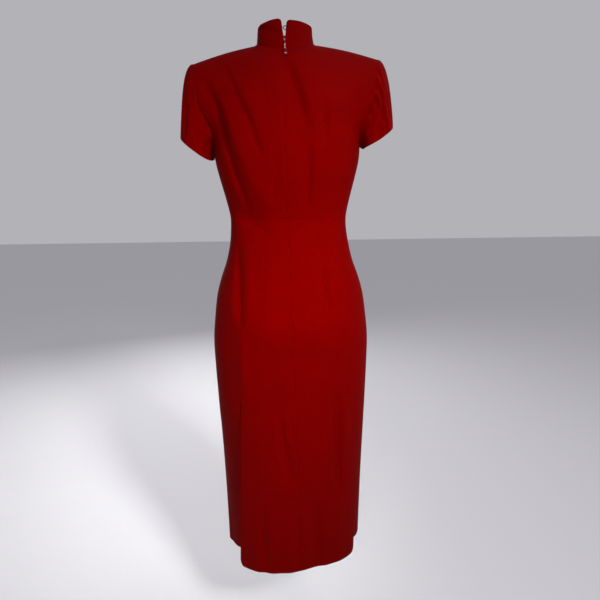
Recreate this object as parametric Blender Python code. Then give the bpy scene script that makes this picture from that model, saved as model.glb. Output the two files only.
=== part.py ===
# Cheongsam dress with a stand collar, short set-in sleeves and side slits, in its worn form.
# Metres, +Z up. The front faces -Y, and the wearer's left is +X.
# The origin is the base of the neck, level with the shoulder seams, where the wearer holds it up.

import bpy
import bmesh
from math import asin, atan2, cos, exp, floor, pi, radians, sin, sqrt
from mathutils import Vector

# ---------------------------------------------------------------- driving dimensions

CLOTH = 0.002                # wall of the crepe with its fusing
SEAM_GAP = 0.0003            # between two sewn pieces
SEAM_HALF = 0.000165         # how far each piece draws back from the seam line
UNDERARM_Z = -0.215          # lowest point of the armhole
WAIST_Z = -0.372             # waist seam
SLIT_TOP_Z = -0.775          # where the side slits start
HEM_Z = -1.262
HEM_CORNER = 0.024           # radius of the slit corners
SIDE_ROUND = 0.87            # exponent of the body's sections, 1 is an ellipse
SWELL_EASE = 1.6             # how soon folds and fullness fade in from the side line
SMALL = 1e-3                 # step for a surface's slopes, as a share of the surface
SHARP_FROM = 40              # degrees between two faces from which an edge is sharp

# one row for each level of the body. half, back and front are the section's reach to
# each side, to the back and to the front. side is the y of its widest points, turn its
# twist about Z, lean its shift to +X and seam how far behind the side line the seam lies.
SECTIONS = (
    # z,     half,   back,   front,  side,    turn, lean,    seam
    (-0.185, 0.1640, 0.1050, 0.1150, 0.0000, 0.0, 0.0000, -3.0),
    (-0.215, 0.1660, 0.1070, 0.1160, 0.0000, 0.0, 0.0000, 0.0),
    (-0.245, 0.1640, 0.1050, 0.1150, 0.0000, 0.0, 0.0000, 3.0),
    (-0.280, 0.1565, 0.0990, 0.1110, 0.0000, 0.0, 0.0000, 7.0),
    (-0.317, 0.1470, 0.0900, 0.1020, 0.0000, 0.0, 0.0000, 11.0),
    (-0.354, 0.1385, 0.0810, 0.0920, 0.0000, 0.0, 0.0000, 15.0),
    (-0.372, 0.1360, 0.0790, 0.0890, 0.0000, 0.0, 0.0000, 17.0),
    (-0.395, 0.1365, 0.0820, 0.0895, 0.0000, 0.2, 0.0000, 22.3),
    (-0.430, 0.1410, 0.0915, 0.0945, 0.0000, 0.6, -0.001, 31.0),
    (-0.470, 0.1505, 0.1035, 0.1010, -0.001, 1.1, -0.001, 41.0),
    (-0.510, 0.1650, 0.1150, 0.1070, -0.003, 1.6, -0.001, 46.0),
    (-0.550, 0.1765, 0.1265, 0.1120, -0.005, 2.1, -0.001, 47.8),
    (-0.607, 0.1850, 0.1380, 0.1150, -0.008, 2.8, -0.001, 48.0),
    (-0.660, 0.1905, 0.1400, 0.1160, -0.010, 3.4, -0.001, 46.5),
    (-0.733, 0.1900, 0.1300, 0.1150, -0.012, 4.3, -0.001, 44.5),
    (-0.820, 0.1860, 0.1200, 0.1130, -0.016, 5.2, -0.001, 43.8),
    (-0.933, 0.1830, 0.1130, 0.1110, -0.022, 6.4, -0.002, 41.3),
    (-1.050, 0.1825, 0.1090, 0.1100, -0.028, 7.6, -0.002, 40.0),
    (-1.170, 0.1835, 0.1070, 0.1100, -0.033, 8.8, -0.0025, 39.0),
    (-1.270, 0.1840, 0.1060, 0.1110, -0.036, 9.6, -0.003, 38.1),
)
HIP_SLIDE = (0.20, 6.5)      # over this drop from the waist the seams have slid round, in degrees
HEM_SLIDE = -2.2             # the same at the hem
SLIT_EDGE = (14.0, 22.0)     # the front panel's slit edges at the hem, left and right
SLIT_EDGE_EASE = 0.8         # how soon these edges leave the seam
SLIT_CURL = (0.040, 0.036)   # how far they turn in at the hem
SLIT_CURL_SHARE = (0.30, 0.20)       # share of the half front that the turning takes
SLIT_CURL_SHAPE = (4.0, 0.6, 1.6)    # how soon it starts, how it grows and how it rounds
PANEL_HALF = 0.30            # a skirt panel's half width at the hem, for its corners

# neck, shoulders and armholes
NECK_HALF = 0.0630           # half of the neck's width at the shoulder seam
NECK_BACK = 0.0490
NECK_BACK_Z = -0.0180
NECK_FRONT = 0.0620
NECK_FRONT_Z = -0.0620
SHOULDER_TIP_X = 0.2020              # the shoulder seam's outer end
SHOULDER_TIP_Z = (-0.0345, -0.0305)  # on the left and on the right
SHOULDER_BOW = 0.0030                # how far the padded shoulder seam bows up between its ends
SHOULDER_SHARE = 0.58                # share of the top edge that the shoulder seam takes
ARMHOLE_BACK = 0.0560
ARMHOLE_FRONT = 0.0520
ARMHOLE_HOLLOW = 0.85                # how full the armhole is below the shoulder, 1 is straight
ARMHOLE_LEAVES = 0.50                # share of its height by which it has left the chest's section
YOKE_ROUND = (0.50, 0.72)            # how the back rounds up to the shoulder and to the neck
YOKE_SLIDE = 1.257                   # how soon the yoke's columns leave the armhole
YOKE_START = 0.3                     # least angle, in radians, that this is reckoned from
YOKE_FLAT = 0.2                      # share of the yoke below the shoulder where folds fade out
ARMHOLE_REACH = 0.98                 # largest share of the section's depth that the armhole takes

# collar
COLLAR_TOP_HALF = 0.0590
COLLAR_TOP_BACK = 0.0430
COLLAR_TOP_FRONT = 0.0520
COLLAR_TOP_BACK_Z = (0.0410, 0.0365)          # on the left and on the right
COLLAR_TOP_SIDE_Z = 0.0355
COLLAR_TOP_FRONT_Z = -0.0180
COLLAR_CORNER = 0.010                # radius of the top corners at the opening
COLLAR_OPEN_LEFT = 0.0085            # how far each half leans away from the centre back
COLLAR_OPEN_RIGHT = 0.0065
COLLAR_LEAN_SHARE = 0.28             # share of the half collar that leans
COLLAR_LEAN_BACK = 0.10              # how far it leans backwards for each metre sideways
COLLAR_SHUT_SHARE = 0.22             # share of the collar's height that the zip closes
COLLAR_HALF_LENGTH = 0.17

# sleeves
SLEEVE_HEM_X = 0.2050                # centre of the sleeve's hem
SLEEVE_HEM_Z = (-0.2125, -0.1945)    # on the left and on the right
SLEEVE_HEM_HALF = 0.0345
SLEEVE_HEM_DEPTH = 0.0610
SLEEVE_HEM_RISE = (0.76, 0.64)       # rise of the hem for each metre outwards, left and right
SLEEVE_HEM_DROP_BACK = 0.16          # fall of the hem for each metre backwards
SLEEVE_SETBACK = 0.0005              # between the sleeve's seam and the armhole's
SLEEVE_CAP_OUT = (0.0065, 0.0220)    # how far the sleeve stands out from the armhole, low and high
SLEEVE_HEM_SLANT = 0.10              # how far the hem's end leans out
SLEEVE_HEM_STRAIGHT = 0.55           # share of the length that hangs straight
SLEEVE_ROW_EASE = 1.15               # rows lie closer near the armhole

# zip, hook and eye at the centre back
ZIP_SKIRT_ROWS = 6           # the zip ends at this row of the skirt
TAPE_WIDTH = 0.012
TAPE_CLEAR = 0.12            # share of a row by which a tape stops short of a seam
TAPE = 0.001
SLIDER_Z = 0.0010
SLIDER = (0.0056, 0.0016, 0.0100)    # width, thickness and height of the slider's outer plate
SLIDER_SLOT = 0.0030                 # between the cheeks
SLIDER_CHEEK = 0.0014                # how far the cheeks stand out from the plate
PULL_LENGTH = 0.043
PULL_WIDTH = 0.0052
PULL_NECK = 0.0020
PULL_SWAY = 0.05             # the tab hangs this much to the right, in radians
PULL = 0.0012
PULL_CLEAR = 0.0004          # between the slider's plate and the pull tab
PULL_REST = 0.0005           # between the pull tab's end and the back
PULL_ROWS = 9
PULL_SWELLS = (0.25, 0.80)   # shares of its length between which the tab widens
PULL_ROUNDS = 0.86           # share of its length where its round end starts
PULL_BLUNT = 0.06            # keeps a short straight edge at the very end
WIRE = 0.0010
WIRE_SIDES = 6
ARCH_STEPS = 8
EYE_Z = 0.0245
EYE_WIDTH = 0.0060
EYE_FOOT = 0.0040            # how far the eye's feet reach along the collar
EYE_FOOT_SHARE = 0.06        # the same as a share of the collar's half
EYE_REACH = 0.0030           # how far it stands out past the collar's edge

# fullness that the darts give: side, x, z, radius, height
FULLNESS = (
    ("front", 0.072, -0.240, 0.070, 0.013),
    ("front", -0.072, -0.240, 0.070, 0.013),
    ("back", 0.085, -0.130, 0.060, 0.004),
    ("back", -0.085, -0.130, 0.060, 0.004),
    ("back", 0.070, -0.610, 0.070, 0.003),
    ("back", -0.070, -0.610, 0.070, 0.003),
)

# main folds: side, the points' x and z along the fold, half width, depth. A ridge has a
# negative depth.
FOLDS = (
    ("back", ((0.131, -0.054), (0.108, -0.097), (0.094, -0.140),
              (0.076, -0.176), (0.056, -0.232)), 0.010, 0.0036),
    ("back", ((0.170, -0.090), (0.147, -0.134), (0.136, -0.186),
              (0.121, -0.240), (0.108, -0.287), (0.090, -0.342)), 0.010, 0.0042),
    ("back", ((0.132, -0.120), (0.112, -0.178), (0.084, -0.246),
              (0.056, -0.300), (0.030, -0.340)), 0.016, -0.0022),
    ("back", ((-0.010, -0.062), (-0.017, -0.086), (-0.029, -0.134),
              (-0.046, -0.186)), 0.014, 0.0030),
    ("back", ((-0.083, -0.140), (-0.083, -0.218)), 0.010, 0.0024),
    ("back", ((-0.049, -0.228), (-0.044, -0.342)), 0.010, 0.0030),
    ("back", ((0.100, -0.350), (0.078, -0.402)), 0.022, 0.0030),
    ("back", ((-0.076, -0.500), (-0.078, -0.560)), 0.012, 0.0024),
    ("back", ((0.114, -0.450), (0.114, -0.600)), 0.010, 0.0024),
    ("back", ((0.035, -0.850), (0.032, -0.918), (0.017, -1.005)), 0.013, 0.0036),
    ("back", ((-0.098, -0.780), (-0.099, -0.980), (-0.102, -1.048)), 0.013, 0.0046),
    ("back", ((-0.119, -0.790), (-0.121, -0.940)), 0.013, -0.0026),
    ("back", ((0.093, -1.075), (0.096, -1.262)), 0.013, 0.0034),
    ("back", ((0.009, -1.100), (0.010, -1.200)), 0.012, 0.0030),
    ("back", ((-0.043, -1.090), (-0.042, -1.250)), 0.014, 0.0038),
    ("front", ((0.105, -0.060), (0.085, -0.190)), 0.013, 0.0030),
    ("front", ((-0.112, -0.070), (-0.088, -0.180)), 0.013, 0.0030),
    ("front", ((0.140, -0.200), (0.088, -0.268)), 0.012, 0.0030),
    ("front", ((-0.138, -0.195), (-0.090, -0.262)), 0.012, 0.0030),
    ("front", ((0.060, -0.300), (0.052, -0.365)), 0.012, 0.0025),
    ("front", ((-0.058, -0.300), (-0.054, -0.365)), 0.012, 0.0025),
    ("front", ((0.105, -0.760), (0.112, -0.900), (0.118, -1.080)), 0.017, 0.0045),
    ("front", ((-0.088, -0.820), (-0.090, -0.980), (-0.100, -1.150)), 0.017, 0.0045),
    ("front", ((0.020, -0.900), (0.024, -1.080), (0.034, -1.262)), 0.018, 0.0040),
    ("front", ((-0.030, -1.000), (-0.026, -1.230)), 0.016, 0.0035),
)
FOLD_END = 0.5               # depth of a fold at its two ends, as a share of its middle's

# rows and columns of the panels
BODICE_ROWS = 8
YOKE_ROWS = 11               # a sleeve has two columns for each of these rows
SKIRT_ROWS = 21
SHOULDER_COLUMNS = 7
NECK_COLUMNS = 6             # the collar has the same columns
SKIRT_COLUMNS = 12
SLIT_COLUMNS = (0.0, 0.012, 0.036, 0.080)    # shares of a half panel, for the slit's round corner
OPENING_STEPS = (0.004, 0.010, 0.020, 0.032)     # the same for the collar's corner
SLEEVE_ROWS = 7
COLLAR_ROWS = 4

# the slider from its top to its mouth, each as a share: height, width, cheeks
SLIDER_ROWS = (
    (0.50, 0.80, 0.05),
    (0.32, 1.00, 0.75),
    (0.00, 1.00, 1.00),
    (-0.28, 0.94, 0.75),
    (-0.50, 0.76, 0.05),
)

# name: colour, roughness, metallic
MATERIALS = {
    "red crepe": ((0.270, 0.001, 0.002, 1.0), 0.85, 0.0),
    "red zip tape": ((0.230, 0.001, 0.003, 1.0), 0.75, 0.0),
    "red lacquered metal": ((0.300, 0.010, 0.012, 1.0), 0.35, 0.0),
    "dark hook metal": ((0.090, 0.050, 0.040, 1.0), 0.35, 1.0),
}


# ---------------------------------------------------------------- helpers

def material(name):
    found = bpy.data.materials.get(name)
    if found:
        return found
    colour, roughness, metallic = MATERIALS[name]
    made = bpy.data.materials.new(name)
    made.use_nodes = True
    shader = made.node_tree.nodes["Principled BSDF"]
    shader.inputs["Base Color"].default_value = colour
    shader.inputs["Roughness"].default_value = roughness
    shader.inputs["Metallic"].default_value = metallic
    return made


def mix(a, b, share):
    return a + (b - a) * share


def ease(value):
    value = min(1.0, max(0.0, value))
    return value * value * (3 - 2 * value)


def signed_power(value, exponent):
    return (1 if value >= 0 else -1) * abs(value) ** exponent


def section(z):
    """The sections' sizes at height z, on a smooth curve through the table's rows."""
    rows = SECTIONS
    z = min(rows[0][0], max(rows[-1][0], z))
    i = 0
    while i < len(rows) - 2 and z < rows[i + 1][0]:
        i += 1
    low, high = rows[i], rows[i + 1]
    before, after = rows[max(i - 1, 0)], rows[min(i + 2, len(rows) - 1)]
    step = high[0] - low[0]
    share = (z - low[0]) / step
    sizes = []
    for column in range(1, len(low)):
        slope_low = (high[column] - before[column]) / (high[0] - before[0])
        slope_high = (after[column] - low[column]) / (after[0] - low[0])
        value = (mix(low[column], high[column], ease(share))
                 + share * (1 - share) ** 2 * step * (slope_low)
                 - share ** 2 * (1 - share) * step * (slope_high))
        sizes.append(value)
    return sizes


def nearest_on(line, point):
    """Distance from a point to a line of points, and the nearest place's share of its length."""
    best = None
    steps_taken = len(line) - 1
    for i in range(steps_taken):
        start, end = Vector(line[i]), Vector(line[i + 1])
        along = end - start
        share = min(1.0, max(0.0, (point - start).dot(along) / along.length_squared))
        far = (point - start - along * share).length
        if best is None or far < best[0]:
            best = (far, (i + share) / steps_taken)
    return best


def relief(side, x, z):
    """How far the fullness and the folds move the cloth out at a point of one side."""
    height = 0.0
    for where, bump_x, bump_z, radius, rise in FULLNESS:
        if where == side:
            far = ((x - bump_x) ** 2 + (z - bump_z) ** 2) / radius ** 2
            height += rise * exp(-far)
    for where, line, half, depth in FOLDS:
        if where == side:
            far, share = nearest_on(line, Vector((x, z)))
            height -= depth * mix(FOLD_END, 1, sin(pi * share)) * exp(-(far / half) ** 2)
    return height


def body_point(angle, z, turn_in=0.0):
    """A point of the body below the armholes. Angle 0 is the left side and pi / 2 the back.

    turn_in moves the point towards the middle, as a slit's edge does.
    """
    half, back, front, widest, turn, lean, _ = section(z)
    side = "back" if sin(angle) > 0 else "front"
    depth = back - widest if side == "back" else front + widest
    x = half * signed_power(cos(angle), SIDE_ROUND)
    x -= turn_in if x > 0 else -turn_in
    y = widest + depth * signed_power(sin(angle), SIDE_ROUND)
    swell = relief(side, x, z) * ease(abs(sin(angle)) * SWELL_EASE)
    y += swell if side == "back" else -swell
    twist = radians(turn)
    return Vector((x * cos(twist) - y * sin(twist) + lean, x * sin(twist) + y * cos(twist), z))


def slit_open(z):
    """How far the side slits have opened at height z: 0 at their top and 1 at the hem."""
    return min(1.0, max(0.0, (SLIT_TOP_Z - z) / (SLIT_TOP_Z - HEM_Z)))


def seam_angle(z, hand):
    """Where the side seam lies. hand is 1 on the left and -1 on the right."""
    drop, turned = HIP_SLIDE
    slid = mix(turned * ease((WAIST_Z - z) / drop), HEM_SLIDE, slit_open(z))
    return radians(section(z)[6] + slid * hand)


def armhole_point(share, hand, side):
    """The armhole's edge, from the underarm at share 0 to the shoulder tip at share 1.

    It leaves the chest's section at the underarm and swings out to the shoulder tip.
    """
    tip_x, tip_z = SHOULDER_TIP_X, SHOULDER_TIP_Z[0 if hand > 0 else 1]
    half, back, front, *_ = section(UNDERARM_Z)
    depth = ARMHOLE_BACK if side == "back" else ARMHOLE_FRONT
    y = depth * sqrt(max(0.0, 1 - (2 * share - 1) ** 2))
    chest = (y / (back if side == "back" else front)) ** (2 / SIDE_ROUND)
    on_chest = half * (1 - chest) ** (SIDE_ROUND / 2)
    swung = mix(half, tip_x, share ** ARMHOLE_HOLLOW)
    x = mix(on_chest, swung, ease(share / ARMHOLE_LEAVES))
    return Vector((hand * x, y if side == "back" else -y, mix(UNDERARM_Z, tip_z, share)))


def neck_point(angle):
    """The neck seam. Angle 0 is the left shoulder seam and pi / 2 the centre back."""
    if sin(angle) > 0:
        depth, drop = NECK_BACK, NECK_BACK_Z
    else:
        depth, drop = NECK_FRONT, NECK_FRONT_Z
    return Vector((NECK_HALF * cos(angle), depth * sin(angle), drop * sin(angle) ** 2))


def top_point(share, hand, side):
    """The bodice's top edge, from the shoulder tip at share 0 to the centre at share 1."""
    tip_x, tip_z = SHOULDER_TIP_X, SHOULDER_TIP_Z[0 if hand > 0 else 1]
    if share < SHOULDER_SHARE:
        along = share / SHOULDER_SHARE
        x = mix(tip_x, NECK_HALF, along)
        z = mix(tip_z, 0.0, along) + SHOULDER_BOW * sin(pi * along)
        return Vector((hand * x, 0, z))
    turned = (share - SHOULDER_SHARE) / (1 - SHOULDER_SHARE) * pi / 2
    point = neck_point(turned if side == "back" else -turned)
    point.x *= hand
    return point


def yoke_point(share, rise, hand, side):
    """The bodice above the underarm. share runs from the armhole to the centre.

    Each row starts on the armhole's edge and follows the chest's section from there. Higher
    up it closes on the shoulder seam and the neck seam.
    """
    sign = 1 if side == "back" else -1
    _, back, front, *_ = section(UNDERARM_Z)
    depth = back if side == "back" else front
    top = top_point(share, hand, side)
    edge = armhole_point(rise, hand, side)
    neckward = ease((share - SHOULDER_SHARE) / (1 - SHOULDER_SHARE))
    rounding = 1 - (1 - rise ** 2) ** mix(*YOKE_ROUND, neckward)
    edge_reach = abs(edge.y) / depth / max((1 - rise ** 2) ** 0.5, 1e-6)
    start = asin(min(edge_reach, ARMHOLE_REACH) ** (1 / SIDE_ROUND)) if rise < 1 else 0.0
    slide = YOKE_SLIDE / max(start, YOKE_START)
    angle = share * pi / 2 + start * (1 - share) ** slide
    swing = edge.x / hand / cos(start) ** SIDE_ROUND
    low_x = hand * swing * max(0.0, cos(angle)) ** SIDE_ROUND
    low_y = sign * depth * sin(angle) ** SIDE_ROUND
    high_x = top.x + (edge.x - hand * SHOULDER_TIP_X) * (1 - share)
    x = mix(low_x, high_x, rise * rise * (2 - rise))
    y = mix(low_y, top.y, rounding)
    z = mix(UNDERARM_Z, top.z, rise)
    y += sign * relief(side, x, z) * ease(sin(angle) * SWELL_EASE) * ease((1 - rise) / YOKE_FLAT)
    return Vector((x, y, z))


def bodice_point(share, level, hand, side):
    """A point of the bodice: level 0 is the waist seam, 1 the underarm and 2 the top."""
    if level >= 1:
        return yoke_point(share, level - 1, hand, side)
    z = mix(WAIST_Z, UNDERARM_Z, level)
    start = seam_angle(z, hand)
    end = pi / 2 if side == "back" else -pi / 2
    angle = mix(start, end, share)
    return body_point(angle if hand > 0 else pi - angle, z)


def skirt_point(share, level, hand, side):
    """A point of the skirt: level 0 is the waist seam and 1 the hem."""
    far = share * PANEL_HALF
    corner = HEM_CORNER - sqrt(max(0.0, HEM_CORNER ** 2 - max(0.0, HEM_CORNER - far) ** 2))
    z = mix(WAIST_Z, HEM_Z + corner, level)
    start = seam_angle(z, hand)
    turn_in = 0.0
    if side == "front":
        opened = slit_open(z)
        which = 0 if hand > 0 else 1
        start = mix(start, radians(SLIT_EDGE[which]), ease(opened) ** SLIT_EDGE_EASE)
        near = max(0.0, 1 - share / SLIT_CURL_SHARE[which])
        soon, grown, rounded = SLIT_CURL_SHAPE
        turn_in = SLIT_CURL[which] * ease(opened * soon) * opened ** grown * near ** rounded
    angle = mix(start, pi / 2 if side == "back" else -pi / 2, share)
    return body_point(angle if hand > 0 else pi - angle, z, turn_in)


def normal_at(surface, u, v, outward):
    """The surface's outward normal at u and v, from small steps that stay on the panel."""
    u0, u1 = max(0.0, u - SMALL), min(1.0, u + SMALL)
    v0, v1 = max(surface.span[0], v - SMALL), min(surface.span[1], v + SMALL)
    across = surface(u1, v) - surface(u0, v)
    along = surface(u, v1) - surface(u, v0)
    normal = across.cross(along).normalized()
    if normal.dot(outward(surface(u, v))) < 0:
        normal.negate()
    return normal


class Surface:
    """A panel's outer face: a function of u from 0 to 1 and of v over a span."""

    def __init__(self, function, span=(0.0, 1.0)):
        self.function = function
        self.span = span

    def __call__(self, u, v):
        return self.function(u, v)


def from_axis(point):
    return Vector((point.x, point.y, 0.12 if point.z > -0.1 else 0))


def inset(grid, edges):
    """Move a panel's edge points in by half a seam gap. edges names top, bottom, first, last."""
    rows, columns = len(grid), len(grid[0])
    pulls = []
    if "first" in edges:
        pulls += [((r, 0), (r, 1)) for r in range(rows)]
    if "last" in edges:
        pulls += [((r, columns - 1), (r, columns - 2)) for r in range(rows)]
    if "bottom" in edges:
        pulls += [((0, c), (1, c)) for c in range(columns)]
    if "top" in edges:
        pulls += [((rows - 1, c), (rows - 2, c)) for c in range(columns)]
    moves = {}
    for (r, c), (r2, c2) in pulls:
        move = (grid[r2][c2] - grid[r][c]).normalized() * SEAM_HALF
        moves[(r, c)] = moves.get((r, c), Vector()) + move
    for (r, c), move in moves.items():
        grid[r][c] = grid[r][c] + move


def finish(name, bm, material_name):
    """Turn a closed bmesh into the named object, smooth but for its sharp edges."""
    bmesh.ops.recalc_face_normals(bm, faces=bm.faces)
    if bm.calc_volume(signed=True) < 0:
        bmesh.ops.reverse_faces(bm, faces=bm.faces)
    mesh = bpy.data.meshes.new(name)
    bm.to_mesh(mesh)
    bm.free()
    made = bpy.data.objects.new(name, mesh)
    bpy.context.collection.objects.link(made)
    mesh.materials.append(material(material_name))
    mesh.shade_smooth()
    mesh.set_sharp_from_angle(angle=radians(SHARP_FROM))
    return made


def wall(name, outer, inner, material_name, ring=False):
    """A closed wall between two grids of points. A ring's columns close on themselves."""
    bm = bmesh.new()
    rows, columns = len(outer), len(outer[0])
    out = [[bm.verts.new(p) for p in row] for row in outer]
    into = [[bm.verts.new(p) for p in row] for row in inner]
    spans = columns if ring else columns - 1
    for r in range(rows - 1):
        for c in range(spans):
            d = (c + 1) % columns
            bm.faces.new((out[r][c], out[r][d], out[r + 1][d], out[r + 1][c]))
            bm.faces.new((into[r][c], into[r + 1][c], into[r + 1][d], into[r][d]))
    for c in range(spans):
        d = (c + 1) % columns
        bm.faces.new((out[0][d], out[0][c], into[0][c], into[0][d]))
        bm.faces.new((out[-1][c], out[-1][d], into[-1][d], into[-1][c]))
    if not ring:
        for r in range(rows - 1):
            bm.faces.new((out[r][0], out[r + 1][0], into[r + 1][0], into[r][0]))
            bm.faces.new((out[r + 1][-1], out[r][-1], into[r][-1], into[r + 1][-1]))
    finish(name, bm, material_name)


def panel(name, surface, us, vs, edges, outward=from_axis):
    """A cloth panel whose outer face is the surface, with the wall inside it."""
    outer = [[surface(u, v) for u in us] for v in vs]
    out = [[normal_at(surface, u, v, outward) for u in us] for v in vs]
    inset(outer, edges)
    inner = [[p - n * CLOTH for p, n in zip(*pair)] for pair in zip(outer, out)]
    wall(name, outer, inner, "red crepe")


def steps(count, start=0.0, end=1.0):
    return [mix(start, end, i / count) for i in range(count + 1)]


# ---------------------------------------------------------------- sewn pieces

def closer_at_ends(count):
    """Shares from 0 to 1 that lie closer together at both ends."""
    return [(1 - cos(pi * i / count)) / 2 for i in range(count + 1)]


def bodice_levels():
    """The bodice's rows: closer near the seams and the underarm, where the cloth turns."""
    return closer_at_ends(BODICE_ROWS) + [1 + v for v in closer_at_ends(YOKE_ROWS)[1:]]


def bodice_columns():
    """Columns with one at the shoulder seam's neck end, so that the corner is sharp."""
    shoulder = steps(SHOULDER_COLUMNS, 0, SHOULDER_SHARE)
    return shoulder + steps(NECK_COLUMNS, SHOULDER_SHARE, 1)[1:]


def skirt_columns():
    """Columns with three close to the slit edge, for the rounded corner."""
    return list(SLIT_COLUMNS) + steps(SKIRT_COLUMNS - 2, SLIT_COLUMNS[-1], 1.0)[1:]


def two_sided(point, side):
    """One surface over both halves of a panel: u 0 is its left edge and 1 its right edge."""
    def function(u, v):
        share = 2 * u if u <= 0.5 else 2 - 2 * u
        return point(share, v, 1 if u <= 0.5 else -1, side)
    return function


def both_halves(shares):
    left = [s / 2 for s in shares]
    return left + [1 - s for s in reversed(left[:-1])]


def build_bodice():
    levels = bodice_levels()
    for hand, name in ((1, "bodice_back_left"), (-1, "bodice_back_right")):
        surface = Surface(lambda u, v, hand=hand: bodice_point(u, v, hand, "back"), (0, 2))
        edges = ("top", "bottom", "first", "last")
        panel(name, surface, bodice_columns(), levels, edges)
    surface = Surface(two_sided(bodice_point, "front"), (0, 2))
    columns = both_halves(bodice_columns())
    panel("bodice_front", surface, columns, levels, ("top", "bottom", "first", "last"))


def build_skirt():
    levels = steps(SKIRT_ROWS)
    edges = ("bottom", "first", "last")
    for hand, name in ((1, "skirt_back_left"), (-1, "skirt_back_right")):
        surface = Surface(lambda u, v, hand=hand: skirt_point(u, v, hand, "back"))
        panel(name, surface, skirt_columns(), levels, edges)
    surface = Surface(two_sided(skirt_point, "front"))
    panel("skirt_front", surface, both_halves(skirt_columns()), levels, edges)


def sleeve_point(turned, along, hand):
    """A point of a sleeve. turned 0 is the shoulder, 0.25 the back and 0.5 the underarm."""
    angle = 2 * pi * turned
    side = "back" if sin(angle) >= 0 else "front"
    start = armhole_point((1 + cos(angle)) / 2, hand, side)
    start.x += hand * SLEEVE_SETBACK
    which = 0 if hand > 0 else 1
    out = SLEEVE_HEM_HALF * cos(angle)
    y = SLEEVE_HEM_DEPTH * sin(angle)
    z = SLEEVE_HEM_Z[which] + SLEEVE_HEM_RISE[which] * out - SLEEVE_HEM_DROP_BACK * y
    end = Vector((hand * (SLEEVE_HEM_X + out), y, z))
    reach = (end - start).length
    top = (1 + cos(angle)) / 2
    start_pull = start + Vector((hand, 0, 0)) * mix(*SLEEVE_CAP_OUT, ease(top))
    end_pull = end + Vector((-hand * SLEEVE_HEM_SLANT, 0, 1)) * reach * SLEEVE_HEM_STRAIGHT
    a, b = 1 - along, along
    return start * a ** 3 + start_pull * 3 * a * a * b + end_pull * 3 * a * b * b + end * b ** 3


def sleeve_inside(turned, along, hand):
    """The point of a sleeve's inner face, one cloth's thickness in from the outer one."""
    across = sleeve_point(turned + SMALL, along, hand) - sleeve_point(turned - SMALL, along, hand)
    start, end = max(0, along - SMALL), min(1, along + SMALL)
    down = sleeve_point(turned, end, hand) - sleeve_point(turned, start, hand)
    out = down.cross(across).normalized() * -hand
    return sleeve_point(turned, along, hand) - out * CLOTH


def build_sleeves():
    columns = [i / (2 * YOKE_ROWS) for i in range(2 * YOKE_ROWS)]
    rows = [share ** SLEEVE_ROW_EASE for share in steps(SLEEVE_ROWS)]
    for hand, name in ((1, "sleeve_left"), (-1, "sleeve_right")):
        outer = [[sleeve_point(u, v, hand) for u in columns] for v in rows]
        inner = [[sleeve_inside(u, v, hand) for u in columns] for v in rows]
        wall(name, outer, inner, "red crepe", ring=True)


def neck_chord(angle):
    """The neck seam as the bodice's columns cut it, straight between two of them."""
    step = pi / 2 / NECK_COLUMNS
    first = floor(angle / step + 1e-6)
    return neck_point(first * step).lerp(neck_point((first + 1) * step), angle / step - first)


def collar_point(share, rise, hand):
    """A point of the collar's half: share 0 is the centre front and 1 the centre back."""
    angle = mix(-pi / 2, pi / 2, share)
    low = neck_chord(angle)
    depth = COLLAR_TOP_BACK if angle > 0 else COLLAR_TOP_FRONT
    end_z = COLLAR_TOP_BACK_Z[0 if hand > 0 else 1] if angle > 0 else COLLAR_TOP_FRONT_Z
    top = Vector((COLLAR_TOP_HALF * cos(angle), depth * sin(angle),
                  mix(COLLAR_TOP_SIDE_Z, end_z, sin(angle) ** 2)))
    from_back = (1 - share) * COLLAR_HALF_LENGTH
    corner = COLLAR_CORNER
    cut = corner - sqrt(max(0.0, corner ** 2 - max(0.0, corner - from_back) ** 2))
    height = (top - low).length
    point = low.lerp(top, rise * (1 - cut / height))
    leaning = ease((rise - COLLAR_SHUT_SHARE) / (1 - COLLAR_SHUT_SHARE))
    open_by = COLLAR_OPEN_LEFT if hand > 0 else COLLAR_OPEN_RIGHT
    leaning *= ease((share - 1 + COLLAR_LEAN_SHARE) / COLLAR_LEAN_SHARE)
    point.x += open_by * leaning
    point.y += open_by * leaning * COLLAR_LEAN_BACK
    point.x *= hand
    point.z += SEAM_GAP
    return point


def build_collar():
    def function(u, v):
        return collar_point(abs(1 - 2 * u), v, 1 if u <= 0.5 else -1)

    near_opening = list(OPENING_STEPS)
    columns = steps(4 * NECK_COLUMNS) + near_opening + [1 - u for u in near_opening]
    columns.sort()
    panel("collar", Surface(function), columns, steps(COLLAR_ROWS), ("first", "last"),
          lambda point: Vector((point.x, point.y, 0)))


# ---------------------------------------------------------------- zip, hook and eye

def back_level(z):
    """The bodice's level at height z on the centre back."""
    low, high = 0.0, 2.0
    for _ in range(30):
        middle = (low + high) / 2
        if bodice_point(1, middle, 1, "back").z < z:
            low = middle
        else:
            high = middle
    return low


def tape(name, surface, columns, rows):
    """One tape on a back panel's inner face, made from the panel's last two columns."""
    layers = ([], [])
    for v in rows:
        edge, beside = surface(columns[-1], v), surface(columns[-2], v)
        edge_out = normal_at(surface, columns[-1], v, from_axis)
        beside_out = normal_at(surface, columns[-2], v, from_axis)
        share = TAPE_WIDTH / (beside - edge).length
        edge = edge + (beside - edge).normalized() * SEAM_HALF
        points = (edge.lerp(beside, share), edge)
        outs = (edge_out.lerp(beside_out, share).normalized(), edge_out)
        for layer, deep in zip(layers, (CLOTH + SEAM_GAP, CLOTH + SEAM_GAP + TAPE)):
            layer.append([p - n * deep for p, n in zip(points, outs)])
    for layer in layers:
        layer[0] = [p.lerp(q, TAPE_CLEAR) for p, q in zip(layer[0], layer[1])]
        layer[-1] = [p.lerp(q, TAPE_CLEAR) for p, q in zip(layer[-1], layer[-2])]
    wall(name, layers[0], layers[1], "red zip tape")


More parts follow.
